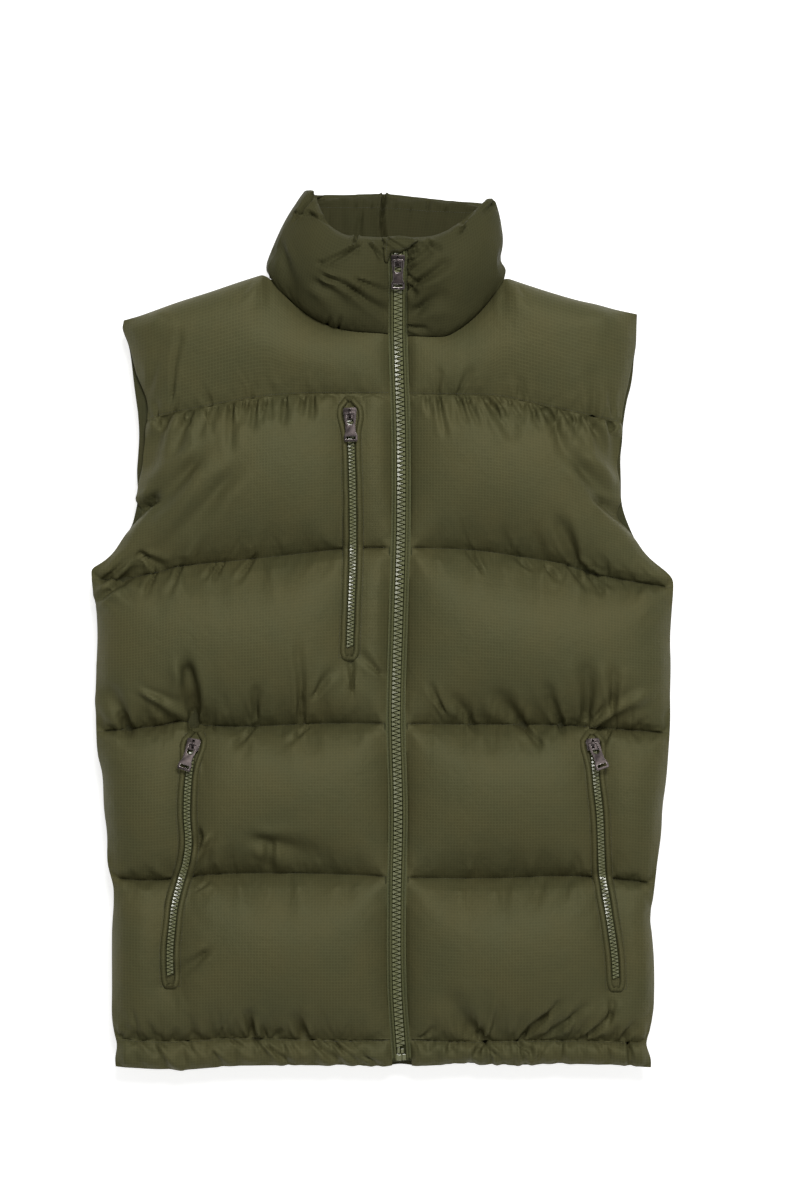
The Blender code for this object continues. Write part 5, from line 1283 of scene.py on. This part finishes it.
def sewn(name, runs, pitch, long, wide, high):
    """Rows of stitches along paths; pitch and the stitch's own sizes are in millimetres."""
    stitch = (wide / 2 * MM, long / 2 * MM, high / 2 * MM)
    made = sewing.grow(name, runs, Pitch=pitch * MM, Material=thread, Stitch=stitch)
    made.data.polygons.foreach_set("use_smooth", np.ones(len(made.data.polygons), bool))
    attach(made, "vest")


def seam_row(skins, side, seam, near_edge, short, shift):
    """A row of stitches from the zip to the side along a seam, short of the edge and shifted up or down."""
    start = float(zip_x(0)) + side * 10 * MM
    edge = float(side_edge[side](float(seam(side * near_edge))))
    x = np.linspace(start, edge - side * short * MM, 150)
    return row_on(skins, x, seam(x) + shift * MM)


sewn("topstitching", thread_runs, 2.3, 1.75, 0.5, 0.4)
quilt_runs, seam_runs = [], []
for side, word in SIDES.items():
    panel, yoke, hem = (surfaces[f"front_{part}_{word}"] for part in ("panel", "yoke", "hem"))
    for seam in (chest_seam, waist_seam, hip_seam):
        quilt_runs.append(seam_row([panel, yoke], side, seam, 0.25, 1.5, 0))
    seam_runs.append(seam_row([panel, yoke], side, yoke_seam, 0.22, 3, 1.6))
    seam_runs.append(seam_row([hem, panel], side, hem_seam, 0.25, 2, -1.4))
sewn("quilting_stitches", quilt_runs, 2.1, 1.6, 0.5, 0.45)
sewn("seam_stitches", seam_runs, 2.4, 1.8, 0.5, 0.4)


# ---- Floor, lights and camera
# The vest lies on a plain white floor under one wide soft light, a little towards the collar, with a weaker
# one opposite. The camera looks straight down from four metres.

FLOOR = 6  # metres from its middle to its edges
HALF_VIEW, DISTANCE = 0.558, 4.0  # half the height that the camera takes in at this distance
VIEW_CENTRE = (0.01646, 0.0284, 4.03)
white = Finish("white floor", Roughness=0.9, Base_Color=(0.86, 0.86, 0.86, 1), Emission_Color=(1, 1, 1, 1),
               Emission_Strength=0.66)
floor_mesh = bpy.data.meshes.new("floor")
corners = [(x * FLOOR, y * FLOOR, -1 * MM) for x, y in ((-1, -1), (1, -1), (1, 1), (-1, 1))]
floor_mesh.from_pydata(corners, [], [(0, 1, 2, 3)])
floor_mesh.materials.append(white.material)
floor = placed("floor", floor_mesh)
sky = bpy.data.worlds.new("soft room")
sky.use_nodes = True
sky.node_tree.nodes["Background"].inputs["Color"].default_value = (1, 1, 1, 1)
sky.node_tree.nodes["Background"].inputs["Strength"].default_value = 0.28
bpy.context.scene.world = sky
bpy.context.scene.view_settings.view_transform = "Standard"
for name, place, size, power in (("softbox", (0.4, 1.4, 2.7), 1.3, 62), ("fill", (0.3, -1.6, 2.6), 2.4, 10)):
    lamp = bpy.data.lights.new(name, "AREA")
    lamp.shape, lamp.size, lamp.energy = "DISK", size, power
    holder = placed(name, lamp)
    holder.location, holder.rotation_euler = place, (-Vector(place)).to_track_quat("-Z", "Y").to_euler()
lens = bpy.data.cameras.new("camera")
lens.sensor_fit, lens.angle_y = "VERTICAL", 2 * math.atan(HALF_VIEW / DISTANCE)
camera = placed("camera", lens)
camera.location = VIEW_CENTRE
bpy.context.scene.camera = camera
